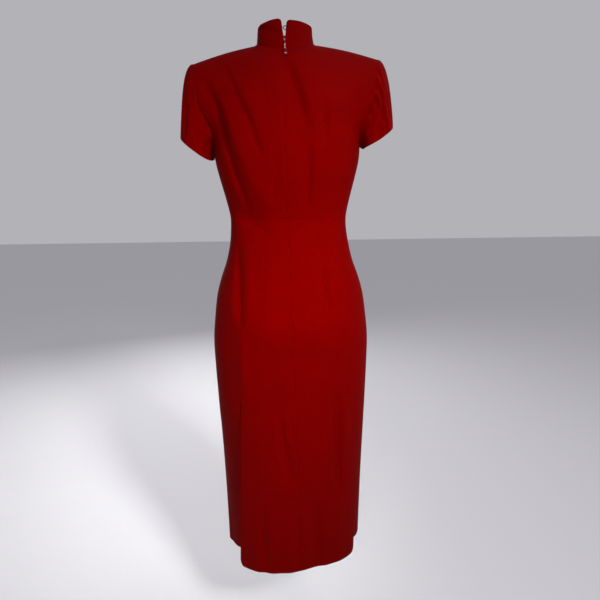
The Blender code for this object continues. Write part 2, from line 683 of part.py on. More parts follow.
def build_tapes():
    """The zip's tapes lie inside the back panels, to each side of the centre back."""
    rows = bodice_levels()
    for hand, side_name in ((1, "left"), (-1, "right")):
        bodice = Surface(lambda u, v, hand=hand: bodice_point(u, v, hand, "back"), (0, 2))
        tape(f"zip_tape_{side_name}_bodice", bodice, bodice_columns(), rows)
        skirt = Surface(lambda u, v, hand=hand: skirt_point(u, v, hand, "back"))
        tape(f"zip_tape_{side_name}_skirt", skirt, skirt_columns(), steps(SKIRT_ROWS)[:ZIP_SKIRT_ROWS])


def slider_seat():
    """Where the slider lies: the outer face of the collar at the centre back."""
    share = (SLIDER_Z - NECK_BACK_Z) / (COLLAR_TOP_BACK_Z[1] - NECK_BACK_Z)
    return Vector((0, collar_point(1, share, 1).y + SEAM_GAP, SLIDER_Z))


def build_slider():
    """The slider: a plate outside the collar, and two cheeks that hold the pull tab."""
    width, thick, height = SLIDER
    seat = slider_seat()
    bm = bmesh.new()
    rows = []
    for up, wide, rise in SLIDER_ROWS:
        side, gap = width * wide / 2, SLIDER_SLOT / 2
        top = thick + SLIDER_CHEEK * rise
        outline = ((-side, 0), (side, 0), (side, top), (gap, top),
                   (gap, thick), (-gap, thick), (-gap, top), (-side, top))
        rows.append([bm.verts.new((x, seat.y + y, seat.z + up * height)) for x, y in outline])
    for first, second in zip(rows, rows[1:]):
        for k in range(len(first)):
            m = (k + 1) % len(first)
            bm.faces.new((first[k], first[m], second[m], second[k]))
    bm.faces.new(rows[0])
    bm.faces.new(reversed(rows[-1]))
    finish("zip_slider", bm, "red lacquered metal")


def arch(name, width, reach, wire, material_name):
    """A bent wire that lies in its own XZ plane: two feet at x 0 and a bow at x reach."""
    path = [Vector((0, -width / 2))]
    for i in range(ARCH_STEPS + 1):
        turned = pi * i / ARCH_STEPS
        path.append(Vector((reach - width / 2 + sin(turned) * width / 2, -cos(turned) * width / 2)))
    path.append(Vector((0, width / 2)))
    bm = bmesh.new()
    rings = []
    for i, centre in enumerate(path):
        ahead = (path[min(i + 1, len(path) - 1)] - path[max(i - 1, 0)]).normalized()
        ring = []
        for k in range(WIRE_SIDES):
            turned = 2 * pi * k / WIRE_SIDES
            off = Vector((-ahead.y, ahead.x)) * cos(turned) * wire / 2
            ring.append(bm.verts.new((centre.x + off.x, sin(turned) * wire / 2, centre.y + off.y)))
        rings.append(ring)
    for first, second in zip(rings, rings[1:]):
        for k in range(WIRE_SIDES):
            m = (k + 1) % WIRE_SIDES
            bm.faces.new((first[k], first[m], second[m], second[k]))
    bm.faces.new(rings[0])
    bm.faces.new(reversed(rings[-1]))
    return finish(name, bm, material_name)


def pull_outline():
    """The pull tab's outline below its hinge: a slim neck that swells to a round end."""
    left = []
    for i in range(PULL_ROWS + 1):
        along = i / PULL_ROWS
        swell = ease((along - PULL_SWELLS[0]) / (PULL_SWELLS[1] - PULL_SWELLS[0]))
        half = mix(PULL_NECK, PULL_WIDTH, swell) / 2
        end = max(0.0, (along - PULL_ROUNDS) / (1 - PULL_ROUNDS))
        left.append((half * sqrt(max(PULL_BLUNT, 1 - end * end)), -along * PULL_LENGTH))
    return left


def build_pull():
    """The pull tab hangs between the slider's cheeks and rests on the back."""
    seat = slider_seat()
    pivot = seat + Vector((0, SLIDER[1] + PULL_CLEAR + PULL / 2, 0))
    low_z = pivot.z - PULL_LENGTH
    back_y = bodice_point(1, back_level(low_z), 1, "back").y
    lean = atan2(back_y + PULL / 2 + PULL_REST - pivot.y, pivot.z - low_z)
    bm = bmesh.new()
    rows = []
    for half, down in pull_outline():
        rows.append([bm.verts.new((x, y, down)) for x, y in
                     ((-half, -PULL / 2), (half, -PULL / 2), (half, PULL / 2), (-half, PULL / 2))])
    for first, second in zip(rows, rows[1:]):
        for k in range(4):
            m = (k + 1) % 4
            bm.faces.new((first[k], first[m], second[m], second[k]))
    bm.faces.new(rows[0])
    bm.faces.new(reversed(rows[-1]))
    made = finish("zip_pull", bm, "red lacquered metal")
    made.location = pivot
    made.rotation_euler = (lean, PULL_SWAY, 0)


def build_hook_and_eye():
    """A wire eye stands out from the collar's right edge, and its hook lies on the left."""
    inward = CLOTH + SEAM_GAP + WIRE / 2
    for hand, name, top_z in ((1, "collar_hook", COLLAR_TOP_BACK_Z[0]),
                              (-1, "collar_eye", COLLAR_TOP_BACK_Z[1])):
        share = (EYE_Z - NECK_BACK_Z) / (top_z - NECK_BACK_Z)
        edge = collar_point(1, share, hand)
        beside = collar_point(1 - EYE_FOOT_SHARE, share, hand)
        along = atan2(beside.y - edge.y, beside.x - edge.x)
        made = arch(name, EYE_WIDTH, EYE_FOOT + EYE_REACH, WIRE, "dark hook metal")
        made.rotation_euler = (0, 0, along + pi)
        inside = Vector((sin(along), -cos(along), 0)) * inward * hand
        made.location = edge + (beside - edge).normalized() * EYE_FOOT + inside


def main():
    for old in list(bpy.data.objects):
        bpy.data.objects.remove(old, do_unlink=True)
    build_bodice()
    build_skirt()
    build_sleeves()
    build_collar()
    build_tapes()
    build_slider()
    build_pull()
    build_hook_and_eye()


main()
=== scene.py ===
# Cheongsam dress: fine cloth shells, seams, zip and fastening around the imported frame.
# Metres, +Z up. The back faces +Y and the wearer's left is +X.
import bpy
import math
import numpy as np
from mathutils import Matrix, Vector


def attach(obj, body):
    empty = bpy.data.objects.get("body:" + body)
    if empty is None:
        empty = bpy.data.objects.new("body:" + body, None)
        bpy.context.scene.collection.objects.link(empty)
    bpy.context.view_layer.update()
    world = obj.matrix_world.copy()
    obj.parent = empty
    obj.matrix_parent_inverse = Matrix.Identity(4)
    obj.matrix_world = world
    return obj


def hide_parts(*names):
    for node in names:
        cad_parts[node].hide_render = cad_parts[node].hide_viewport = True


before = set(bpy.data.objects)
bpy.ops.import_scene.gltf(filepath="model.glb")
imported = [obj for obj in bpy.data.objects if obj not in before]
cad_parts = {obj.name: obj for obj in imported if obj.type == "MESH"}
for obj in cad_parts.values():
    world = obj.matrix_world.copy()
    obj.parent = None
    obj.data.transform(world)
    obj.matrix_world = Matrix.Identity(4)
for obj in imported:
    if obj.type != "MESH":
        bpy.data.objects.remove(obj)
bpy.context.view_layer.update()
print("frame loaded:", len(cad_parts), "nodes")


# small helpers for arrays of points

tiny = 1e-12


def mix(a, b, share):
    return a + (b - a) * share


def ease(value):
    value = np.clip(value, 0.0, 1.0)
    return value * value * (3 - 2 * value)


def signedPower(value, exponent):
    return np.sign(value) * np.abs(value) ** exponent


def joined(x, y, z):
    return np.stack(np.broadcast_arrays(x, y, z), axis=-1)


def lengthOf(points):
    return np.linalg.norm(points, axis=-1)


def unit(vectors):
    return vectors / np.maximum(lengthOf(vectors)[..., None], tiny)


def bySide(pair, hand):
    # the left or the right one of a pair; hand is 1 on the wearer's left and -1 on the right
    return pair[0 if hand > 0 else 1]


# the dress's form, from the same sizes as its solids

form = {
    "underarmZ": -0.215,
    "waistZ": -0.372,
    "slitTopZ": -0.775,
    "hemZ": -1.262,
    "hemCorner": 0.024,       # radius of the slits' lower corners
    "sideRound": 0.87,        # exponent of the sections, 1 is an ellipse
    "hipSlide": (0.20, 6.5),  # over this drop from the waist the seams have slid round, in degrees
    "hemSlide": -2.2,
    "slitEdge": (14.0, 22.0),       # the front panel's slit edges at the hem, left and right
    "slitEdgeEase": 0.8,
    "slitCurl": (0.040, 0.024),     # how far they turn in at the hem
    "slitCurlShare": (0.30, 0.20),
    "slitCurlShape": (4.0, 0.6, 1.6),
    "panelHalf": 0.30,
    "foldsFade": 1.6,         # how fast the folds come in from the side seams
    "hintLower": (-0.10, 0.16),     # above this height the points inside lie lower, by this much
}

# z, half width, reach to the back, to the front, y of the widest points, turn, lean to +X, side seam
sections = np.array((
    (-0.185, 0.1640, 0.1050, 0.1150, 0.0000, 0.0, 0.0000, -3.0),
    (-0.215, 0.1660, 0.1070, 0.1160, 0.0000, 0.0, 0.0000, 0.0),
    (-0.245, 0.1640, 0.1050, 0.1150, 0.0000, 0.0, 0.0000, 3.0),
    (-0.280, 0.1565, 0.0990, 0.1110, 0.0000, 0.0, 0.0000, 7.0),
    (-0.317, 0.1470, 0.0900, 0.1020, 0.0000, 0.0, 0.0000, 11.0),
    (-0.354, 0.1385, 0.0810, 0.0920, 0.0000, 0.0, 0.0000, 15.0),
    (-0.372, 0.1360, 0.0790, 0.0890, 0.0000, 0.0, 0.0000, 17.0),
    (-0.395, 0.1365, 0.0820, 0.0895, 0.0000, 0.2, 0.0000, 22.3),
    (-0.430, 0.1410, 0.0915, 0.0945, 0.0000, 0.6, -0.001, 31.0),
    (-0.470, 0.1505, 0.1035, 0.1010, -0.001, 1.1, -0.001, 41.0),
    (-0.510, 0.1650, 0.1150, 0.1070, -0.003, 1.6, -0.001, 46.0),
    (-0.550, 0.1765, 0.1265, 0.1120, -0.005, 2.1, -0.001, 47.8),
    (-0.607, 0.1850, 0.1380, 0.1150, -0.008, 2.8, -0.001, 48.0),
    (-0.660, 0.1905, 0.1400, 0.1160, -0.010, 3.4, -0.001, 46.5),
    (-0.733, 0.1905, 0.1300, 0.1150, -0.012, 4.3, -0.0014, 44.5),
    (-0.820, 0.1888, 0.1200, 0.1130, -0.016, 5.2, -0.0022, 43.8),
    (-0.933, 0.1862, 0.1130, 0.1110, -0.022, 6.4, -0.0032, 41.3),
    (-1.050, 0.1858, 0.1090, 0.1100, -0.028, 7.6, -0.0034, 40.0),
    (-1.170, 0.1868, 0.1070, 0.1100, -0.033, 8.8, -0.0039, 39.0),
    (-1.270, 0.1873, 0.1060, 0.1110, -0.036, 9.6, -0.0044, 38.1),
))

yoke = {
    "neckHalf": 0.0630,
    "neckBack": 0.0490,
    "neckBackZ": -0.0180,
    "neckFront": 0.0620,
    "neckFrontZ": -0.0620,
    "tipX": 0.2020,           # the shoulder seam's outer end
    "tipZ": (-0.0345, -0.0305),     # on the left and on the right
    "shoulderBow": 0.0030,
    "shoulderShare": 0.58,    # share of the top edge that the shoulder seam takes
    "armholeBack": 0.0560,
    "armholeFront": 0.0520,
    "armholeHollow": 0.85,
    "armholeLeaves": 0.50,
    "round": (0.50, 0.72),
    "slide": 1.257,
    "leastStart": 0.3,        # in radians, where the slide stops growing
    "mostReach": 0.98,        # of the armhole's edge, as a share of the depth
    "foldsFade": 5,           # how fast the folds come in below the shoulder seam
}

# the tables of the cloth's relief are in millimetres

# fullness from the darts: side, x, z, radius, height
fullness = (
    ("front", 72, -240, 70, 13),
    ("front", -72, -240, 70, 13),
    ("back", 85, -130, 60, 4),
    ("back", -85, -130, 60, 4),
    ("back", 70, -610, 70, 3),
    ("back", -70, -610, 70, 3),
)

# the large folds, as in the solids: x and z of points along the fold, half width, depth
largeFolds = {
    "back": (
        (((131, -54), (108, -97), (94, -140), (76, -176), (56, -232)), 10, 3.6),
        (((170, -90), (147, -134), (136, -186), (121, -240), (108, -287), (90, -342)), 10, 4.2),
        (((132, -120), (112, -178), (84, -246), (56, -300), (30, -340)), 16, -2.2),
        (((-10, -62), (-17, -86), (-29, -134), (-46, -186)), 14, 3),
        (((-83, -140), (-83, -218)), 10, 2.4),
        (((-49, -228), (-44, -342)), 10, 3),
        (((100, -350), (78, -402)), 22, 3),
        (((-76, -500), (-78, -560)), 12, 2.4),
        (((114, -450), (114, -600)), 10, 2.4),
        (((35, -850), (32, -918), (17, -1005)), 13, 3.6),
        (((-98, -780), (-99, -980), (-102, -1048)), 13, 4.6),
        (((-119, -790), (-121, -940)), 13, -2.6),
        (((93, -1075), (96, -1262)), 13, 3.4),
        (((9, -1100), (10, -1200)), 12, 3),
        (((-43, -1090), (-42, -1250)), 14, 3.8),
    ),
    "front": (
        (((105, -60), (85, -190)), 13, 3),
        (((-112, -70), (-88, -180)), 13, 3),
        (((140, -200), (88, -268)), 12, 3),
        (((-138, -195), (-90, -262)), 12, 3),
        (((60, -300), (52, -365)), 12, 2.5),
        (((-58, -300), (-54, -365)), 12, 2.5),
        (((105, -760), (112, -900), (118, -1080)), 17, 4.5),
        (((-88, -820), (-90, -980), (-100, -1150)), 17, 4.5),
        (((20, -900), (24, -1080), (34, -1262)), 18, 4),
        (((-30, -1000), (-26, -1230)), 16, 3.5),
    ),
}

# finer creases that only the cloth shells have; a ridge has a negative depth
fineFolds = {
    "back": (
        # pulled down from the left shoulder to the waist
        (((129, -54), (106, -97), (92, -140), (74, -176), (56, -226)), 6, 2.4),
        (((118, -52), (92, -98), (78, -140), (60, -182)), 11, -1.4),
        (((168, -90), (145, -134), (134, -186), (119, -240), (106, -287), (90, -336)), 6.5, 3.2),
        (((152, -92), (128, -150), (112, -220)), 9, -2.4),
        (((132, -128), (114, -178), (95, -246), (74, -298), (44, -340)), 12.5, -3),
        (((186, -80), (176, -140), (160, -196)), 9, -1.2),
        (((148, -52), (136, -78)), 10, 1.2),
        (((98, -52), (82, -76)), 14, 1.8),
        (((60, -60), (48, -110), (44, -180)), 18, 1.4),
        (((128, -340), (90, -366), (58, -386)), 20, 4.2),
        # either side of the centre seam
        (((-7, -58), (-18, -92), (-33, -134), (-48, -180)), 8, 1.8),
        (((-22, -52), (-36, -88), (-56, -140)), 11, -1),
        (((-4, -70), (-24, -150), (-34, -250)), 24, 4.2),
        (((12, -80), (12, -190)), 6, -0.7),
        (((18, -240), (26, -310)), 7, 1.6),
        (((4, -250), (10, -318)), 8, -0.8),
        (((-24, -262), (-27, -332)), 7, 1.4),
        # right half
        (((-83, -142), (-83, -216)), 6, 1.6),
        (((-98, -136), (-99, -212)), 9, -1.2),
        (((-49, -232), (-45, -338)), 6, 2.4),
        (((-64, -236), (-60, -336)), 10, -1.6),
        (((-163, -98), (-162, -146)), 5.5, 2.4),
        (((-151, -104), (-149, -168)), 6, 3.4),
        (((-138, -110), (-133, -176)), 6, 3),
        (((-142, -176), (-128, -236)), 8, 1.2),
        # waist and hips
        (((14, -372.5), (-14, -371.5)), 4, 1.1),
        (((-129, -404), (-112, -476)), 7, 3.6),
        (((-106, -400), (-94, -470)), 12, -2),
        (((70, -372), (50, -410)), 14, 1.2),
        (((114, -430), (112.5, -530), (113, -600)), 5.6, 2.6),
        (((132, -466), (134, -560), (133, -592)), 8, -3),
        (((94, -440), (97, -600)), 13, -3),
        (((111, -616), (117, -700), (117, -792)), 13.5, -4.2),
        (((142, -610), (148, -770)), 12, 2.4),
        (((-77, -492), (-80, -566)), 5.5, 2.6),
        (((-60, -486), (-60, -560)), 14, -1),
        # the cloth turns under below the seat
        (((96, -596), (40, -602), (-110, -606)), 36, -5),
        (((92, -676), (-10, -682), (-120, -690)), 34, 3.2),
        # lower skirt
        (((60, -700), (50, -830)), 16, 1),
        (((36, -846), (34, -912), (20, -990)), 7.5, 2.4),
        (((16, -836), (13, -884)), 6.5, 2.6),
        (((24, -826), (24, -890)), 6, -1.4),
        (((54, -836), (51, -936)), 11, -2.2),
        (((-99, -790), (-100, -980), (-103, -1044)), 7, 3.4),
        (((-101, -920), (-103, -1036)), 6.5, 2.2),
        (((-118, -800), (-120, -930)), 8, -3),
        (((-84, -800), (-84, -980)), 12, -1.4),
        (((-38, -1080), (-36, -1440)), 46, 7.5),
        (((104, -900), (114, -1060)), 10, 1.2),
        (((108, -1180), (110, -1262)), 14, -3.4),
        (((92, -1080), (95, -1250)), 8, 1.8),
        (((76, -1080), (78, -1262)), 12, -2),
        (((52, -1020), (56, -1262)), 11, 1.4),
        (((26, -1120), (28, -1262)), 12, -1.6),
        (((-10, -1110), (-10, -1262)), 12, -1.4),
        (((-45, -1100), (-44, -1240)), 8, 1.8),
        (((-60, -1090), (-62, -1262)), 11, -1.6),
        (((-80, -1130), (-84, -1262)), 10, 1.2),
        (((-114, -1060), (-122, -1240)), 11, 1.4),
    ),
    "front": (
        (((86, -80), (68, -170)), 9, -1.2),
        (((-94, -85), (-72, -172)), 9, -1.2),
        (((146, -110), (130, -190)), 7, 1.1),
        (((-148, -115), (-128, -185)), 7, 1.1),
        (((150, -236), (118, -262)), 6, 1.1),
        (((-150, -232), (-116, -256)), 6, 1.1),
        (((34, -330), (76, -348)), 6, 0.7),
        (((-30, -344), (-78, -336)), 6, 0.7),
        (((96, -392), (126, -418)), 7, 1.1),
        (((-92, -396), (-130, -426)), 7, 1.1),
        (((60, -700), (78, -820)), 16, 1.5),
        (((-50, -740), (-64, -850)), 15, 1.5),
        (((86, -800), (94, -1060)), 13, -1.8),
        (((-118, -860), (-128, -1120)), 13, -1.6),
        (((-68, -900), (-78, -1140)), 13, -1.6),
        (((0, -980), (8, -1262)), 12, -1.4),
        (((52, -1060), (62, -1262)), 11, 1.7),
        (((132, -900), (146, -1180)), 12, 1.8),
        (((-146, -940), (-150, -1200)), 12, 1.8),
    ),
}

foldEnd = 0.5    # depth of a fold at its two ends, as a share of its middle's


def foldHeights(folds, x, z):
    height = np.zeros(np.broadcast(x, z).shape)
    for line, half, depth in folds:
        nearest = np.full(height.shape, np.inf)
        along = np.zeros(height.shape)
        for i in range(len(line) - 1):
            (startX, startZ), (endX, endZ) = line[i], line[i + 1]
            wayX, wayZ = endX - startX, endZ - startZ
            share = ((x - startX) * wayX + (z - startZ) * wayZ) / (wayX ** 2 + wayZ ** 2)
            share = np.clip(share, 0, 1)
            far = np.hypot(x - startX - share * wayX, z - startZ - share * wayZ)
            along = np.where(far < nearest, (i + share) / (len(line) - 1), along)
            nearest = np.minimum(nearest, far)
        height -= depth * mix(foldEnd, 1, np.sin(math.pi * along)) * np.exp(-(nearest / half) ** 2)
    return height


def relief(side, x, z):
    # metres in and out
    x, z = x * 1000, z * 1000
    height = foldHeights(largeFolds[side], x, z) + foldHeights(fineFolds[side], x, z)
    for where, bumpX, bumpZ, radius, rise in fullness:
        if where == side:
            height += rise * np.exp(-((x - bumpX) ** 2 + (z - bumpZ) ** 2) / radius ** 2)
    return height / 1000


def sizesAt(z):
    # a smooth curve through the sections' rows, for each column
    heights = sections[:, 0]
    z = np.clip(z, heights[-1], heights[0])
    low = np.searchsorted(-heights[1:-1], -z, side="left")
    high = low + 1
    before = np.maximum(low - 1, 0)
    after = np.minimum(high + 1, len(sections) - 1)
    step = heights[high] - heights[low]
    share = (z - heights[low]) / step
    sizes = []
    for column in sections.T[1:]:
        slopeLow = (column[high] - column[before]) / (heights[high] - heights[before])
        slopeHigh = (column[after] - column[low]) / (heights[after] - heights[low])
        sizes.append(mix(column[low], column[high], ease(share))
                     + share * (1 - share) ** 2 * step * slopeLow
                     - share ** 2 * (1 - share) * step * slopeHigh)
    return sizes


def bodyPoints(angle, z, turnIn=0.0):
    # angle 0 is the wearer's left and pi / 2 the back
    half, back, front, widest, turn, lean, _ = sizesAt(z)
    behind = np.sin(angle) > 0
    depth = np.where(behind, back - widest, front + widest)
    x = half * signedPower(np.cos(angle), form["sideRound"])
    x = x - np.sign(x) * turnIn
    y = widest + depth * signedPower(np.sin(angle), form["sideRound"])
    swell = np.where(behind, relief("back", x, z), -relief("front", x, z))
    y = y + swell * ease(np.abs(np.sin(angle)) * form["foldsFade"])
    twist = np.radians(turn)
    return joined(x * np.cos(twist) - y * np.sin(twist) + lean,
                  x * np.sin(twist) + y * np.cos(twist), z)


def slitOpen(z):
    return np.clip((form["slitTopZ"] - z) / (form["slitTopZ"] - form["hemZ"]), 0, 1)


def seamAngle(z, hand):
    drop, turned = form["hipSlide"]
    slid = mix(turned * ease((form["waistZ"] - z) / drop), form["hemSlide"], slitOpen(z))
    return np.radians(sizesAt(z)[6] + slid * hand)


def armholePoints(share, hand, behind):
    # from the underarm at share 0 to the shoulder tip at share 1
    half, back, front, *_ = sizesAt(np.array(form["underarmZ"]))
    depth = np.where(behind, yoke["armholeBack"], yoke["armholeFront"])
    y = depth * np.sqrt(np.maximum(0, 1 - (2 * share - 1) ** 2))
    chest = (y / np.where(behind, back, front)) ** (2 / form["sideRound"])
    onChest = half * (1 - chest) ** (form["sideRound"] / 2)
    swung = mix(half, yoke["tipX"], share ** yoke["armholeHollow"])
    x = mix(onChest, swung, ease(share / yoke["armholeLeaves"]))
    z = mix(form["underarmZ"], bySide(yoke["tipZ"], hand), share)
    return joined(hand * x, np.where(behind, y, -y), z)


def neckPoints(angle):
    behind = np.sin(angle) > 0
    depth = np.where(behind, yoke["neckBack"], yoke["neckFront"])
    drop = np.where(behind, yoke["neckBackZ"], yoke["neckFrontZ"])
    return joined(yoke["neckHalf"] * np.cos(angle), depth * np.sin(angle), drop * np.sin(angle) ** 2)


def topPoints(share, hand, behind):
    # from the shoulder tip at share 0 over the neck's side to the centre at share 1
    along = np.minimum(share / yoke["shoulderShare"], 1)
    shoulderX = mix(yoke["tipX"], yoke["neckHalf"], along)
    shoulderZ = mix(bySide(yoke["tipZ"], hand), 0.0, along)
    shoulderZ = shoulderZ + yoke["shoulderBow"] * np.sin(math.pi * along)
    turned = np.maximum(share - yoke["shoulderShare"], 0) / (1 - yoke["shoulderShare"]) * math.pi / 2
    neck = neckPoints(turned if behind else -turned)
    onNeck = share > yoke["shoulderShare"]
    return joined(hand * np.where(onNeck, neck[..., 0], shoulderX),
                  np.where(onNeck, neck[..., 1], 0.0),
                  np.where(onNeck, neck[..., 2], shoulderZ))


def yokePoints(share, rise, hand, side, folded=True):
    behind = side == "back"
    sign = 1 if behind else -1
    _, back, front, *_ = sizesAt(np.array(form["underarmZ"]))
    depth = back if behind else front
    top = topPoints(share, hand, behind)
    edge = armholePoints(rise, hand, behind)
    neckward = ease((share - yoke["shoulderShare"]) / (1 - yoke["shoulderShare"]))
    left = np.maximum(1 - rise ** 2, tiny)
    rounding = 1 - left ** mix(*yoke["round"], neckward)
    reach = np.minimum(np.abs(edge[..., 1]) / depth / np.sqrt(left), yoke["mostReach"])
    start = np.where(rise < 1, np.arcsin(reach ** (1 / form["sideRound"])), 0.0)
    slide = yoke["slide"] / np.maximum(start, yoke["leastStart"])
    angle = share * math.pi / 2 + start * (1 - share) ** slide
    swing = edge[..., 0] / hand / np.cos(start) ** form["sideRound"]
    lowX = hand * swing * np.maximum(0, np.cos(angle)) ** form["sideRound"]
    lowY = sign * depth * np.sin(angle) ** form["sideRound"]
    highX = top[..., 0] + (edge[..., 0] - hand * yoke["tipX"]) * (1 - share)
    x = mix(lowX, highX, rise * rise * (2 - rise))
    y = mix(lowY, top[..., 1], rounding)
    z = mix(form["underarmZ"], top[..., 2], rise)
    if folded:
        swell = ease(np.sin(angle) * form["foldsFade"]) * ease((1 - rise) * yoke["foldsFade"])
        y = y + sign * relief(side, x, z) * swell
    return joined(x, y, z)


def bodicePoints(share, level, hand, side, folded=True):
    # level 0 is the waist seam, 1 the underarm and 2 the shoulder and the neck
    share, level = np.broadcast_arrays(share, level)
    z = mix(form["waistZ"], form["underarmZ"], np.minimum(level, 1))
    end = math.pi / 2 if side == "back" else -math.pi / 2
    angle = mix(seamAngle(z, hand), end, share)
    lower = bodyPoints(angle if hand > 0 else math.pi - angle, z)
    upper = yokePoints(share, np.clip(level - 1, 0, 1), hand, side, folded)
    return np.where((level >= 1)[..., None], upper, lower)


def skirtPoints(share, level, hand, side):
    # level 0 is the waist seam and 1 the hem
    far = share * form["panelHalf"]
    corner = form["hemCorner"]
    rise = corner - np.sqrt(np.maximum(0, corner ** 2 - np.maximum(0, corner - far) ** 2))
    z = mix(form["waistZ"], form["hemZ"] + rise, level)
    start = seamAngle(z, hand)
    turnIn = 0.0
    if side == "front":
        opened = slitOpen(z)
        edge = math.radians(bySide(form["slitEdge"], hand))
        start = mix(start, edge, ease(opened) ** form["slitEdgeEase"])
        near = np.maximum(0, 1 - share / bySide(form["slitCurlShare"], hand))
        soon, grown, rounded = form["slitCurlShape"]
        turnIn = ease(opened * soon) * opened ** grown * near ** rounded
        turnIn = turnIn * bySide(form["slitCurl"], hand)
    angle = mix(start, math.pi / 2 if side == "back" else -math.pi / 2, share)
    return bodyPoints(angle if hand > 0 else math.pi - angle, z, turnIn)


# cloth shells

cloth = {
    "thick": 0.0014,          # crepe with its fusing
    "hemDeep": 0.030,         # turned-up hem inside
    "hemThick": 0.0007,
    "hemStep": 0.0012,        # over this height the hem's edge fades into the cloth
    "hemRound": 1.5,          # wall thicknesses over which a hem rounds off at the border
    "unevenness": 0.00010,    # soft waviness of the whole cloth
    "hang": 2.6,              # the waves are this much longer downwards than across
    "seamDip": 0.00012,       # how far a seam lies in the cloth
    "seamWidth": 0.0030,
    "seamRim": 0.00010,       # how far a sewn edge rounds off
    "pucker": 0.5,            # share of the dip that comes and goes along the seam
    "puckerLengths": (0.0113, 0.0071),
    "puckerSecond": 0.7,      # strength of the second length against the first
    "puckerShift": 1.3,       # of the second against the first, in radians
    "puckerWay": (1.0, 0.6, 1.0),
    "slitDeep": 0.018,        # turned-in edge of the slits
    "slitEnd": 0.006,         # over this height the side seam ends and the slit begins
}

# the slow waves of the whole cloth, each in a direction of its own
waves = {
    "lengths": (0.047, 0.061, 0.083, 0.112, 0.149),
    "turn": 2.4,              # radians from one direction to the next
    "firstTurn": 0.7,
    "tilt": (1.7, 0.7),       # how the directions turn and lean out of the level
    "bend": 0.6,              # a slower wave bends each one by this much
    "bendLength": 2.3,        # length of that wave, in its own wave's lengths
    "strength": 0.6,
    "grows": 0.2,             # each longer wave is stronger by this much
    "scale": 3.0,
}


def closerAtEnds(count):
    return (1 - np.cos(np.pi * np.linspace(0, 1, count + 1))) / 2


def withEdges(count, width, edgeSteps=(0.00035, 0.0009, 0.0020, 0.0034)):
    # even steps, with more close to both ends, where an edge or a seam rounds off
    near = np.array(edgeSteps) / width
    middle = np.linspace(near[-1], 1 - near[-1], count)
    return np.concatenate(([0], near[:-1], middle, 1 - near[:-1][::-1], [1]))


def unevenness(points):
    # drawn out downwards, as the cloth hangs
    height = np.zeros(points.shape[:-1])
    points = points * np.array((1.0, 1.0, 1 / cloth["hang"]))
    for number, length in enumerate(waves["lengths"]):
        turned = waves["turn"] * number + waves["firstTurn"]
        turns, leans = waves["tilt"]
        direction = np.array((math.cos(turned), math.sin(turned * turns), math.sin(turned) * leans))
        slow = length * waves["bendLength"]
        bend = waves["bend"] * np.sin(points @ np.roll(direction, 1) * 2 * math.pi / slow)
        wave = np.sin(points @ direction * 2 * math.pi / length + bend + number)
        height += wave * (waves["strength"] + number * waves["grows"])
    return height / waves["scale"]


def puckers(points):
    along = points @ np.array(cloth["puckerWay"]) * 2 * math.pi
    first, second = cloth["puckerLengths"]
    share = cloth["puckerSecond"]
    fine = np.sin(along / second + cloth["puckerShift"])
    return (np.sin(along / first) + share * fine) / (1 + share)


def gridNormals(points, hint, ring=False):
    if ring:
        across = np.roll(points, -1, axis=1) - np.roll(points, 1, axis=1)
    else:
        across = np.gradient(points, axis=1)
    down = np.gradient(points, axis=0)
    normals = unit(np.cross(across, down))
    turned = (normals * (points - hint)).sum() < 0
    return (-normals if turned else normals), turned


def borderDistances(points, ring=False):
    # distance of each point from the grid's four edges, measured on the cloth
    down = lengthOf(np.diff(points, axis=0))
    fromTop = np.vstack([np.zeros(points.shape[1]), np.cumsum(down, axis=0)])
    distances = {"start": fromTop, "end": fromTop[-1:] - fromTop}
    if not ring:
        across = lengthOf(np.diff(points, axis=1))
        fromFirst = np.hstack([np.zeros((points.shape[0], 1)), np.cumsum(across, axis=1)])
        distances["first"] = fromFirst
        distances["last"] = fromFirst[:, -1:] - fromFirst
    return distances


def clothShell(name, points, hint, seams=(), hems=(), slits=(), lines=(), ring=False, thick=None):
    # a thin wall on a grid of points, with rounded edges that lie on the grid's border
    thick = thick or cloth["thick"]
    sewn = ease((points[..., 2] - form["slitTopZ"]) / cloth["slitEnd"] + 0.5)
    normals, turned = gridNormals(points, hint, ring)
    away = borderDistances(points, ring)
    lift = cloth["unevenness"] * unevenness(points)
    dip = np.zeros(points.shape[:-1])
    for edge in (*seams, *slits):
        share = sewn if edge in slits else 1.0
        dip = np.maximum(dip, share * np.exp(-(away[edge] / cloth["seamWidth"]) ** 2))
    for distance, depth, width in lines:
        dip = np.maximum(dip, depth / cloth["seamDip"] * np.exp(-(distance / width) ** 2))
    lift -= cloth["seamDip"] * dip * (1 + cloth["pucker"] * puckers(points))
    points = points + normals * lift[..., None]
    extra = np.zeros(points.shape[:-1])
    for edge in (*hems, *slits):
        deep, share = (cloth["slitDeep"], 1 - sewn) if edge in slits else (cloth["hemDeep"], 1.0)
        step = 1 - ease((away[edge] - deep) / cloth["hemStep"])
        extra = np.maximum(extra, cloth["hemThick"] * step * share)
    drop = np.zeros(points.shape[:-1])
    for edge, far in away.items():
        radius = cloth["seamRim"] if edge in seams else thick / 2
        if edge in slits:
            radius = mix(thick / 2, cloth["seamRim"], sewn)
        near = np.clip(1 - far / radius, 0, 1)
        drop = np.maximum(drop, radius * (1 - np.sqrt(1 - near ** 2)))
    border = np.minimum.reduce(list(away.values()))
    inward = thick - drop * (border > 0)
    inward = inward + extra * np.clip(border / (thick * cloth["hemRound"]), 0, 1)
    outer = points - normals * drop[..., None]
    inner = points - normals * inward[..., None]
    return meshFromLayers(name, outer, inner, turned, ring, "red crepe")


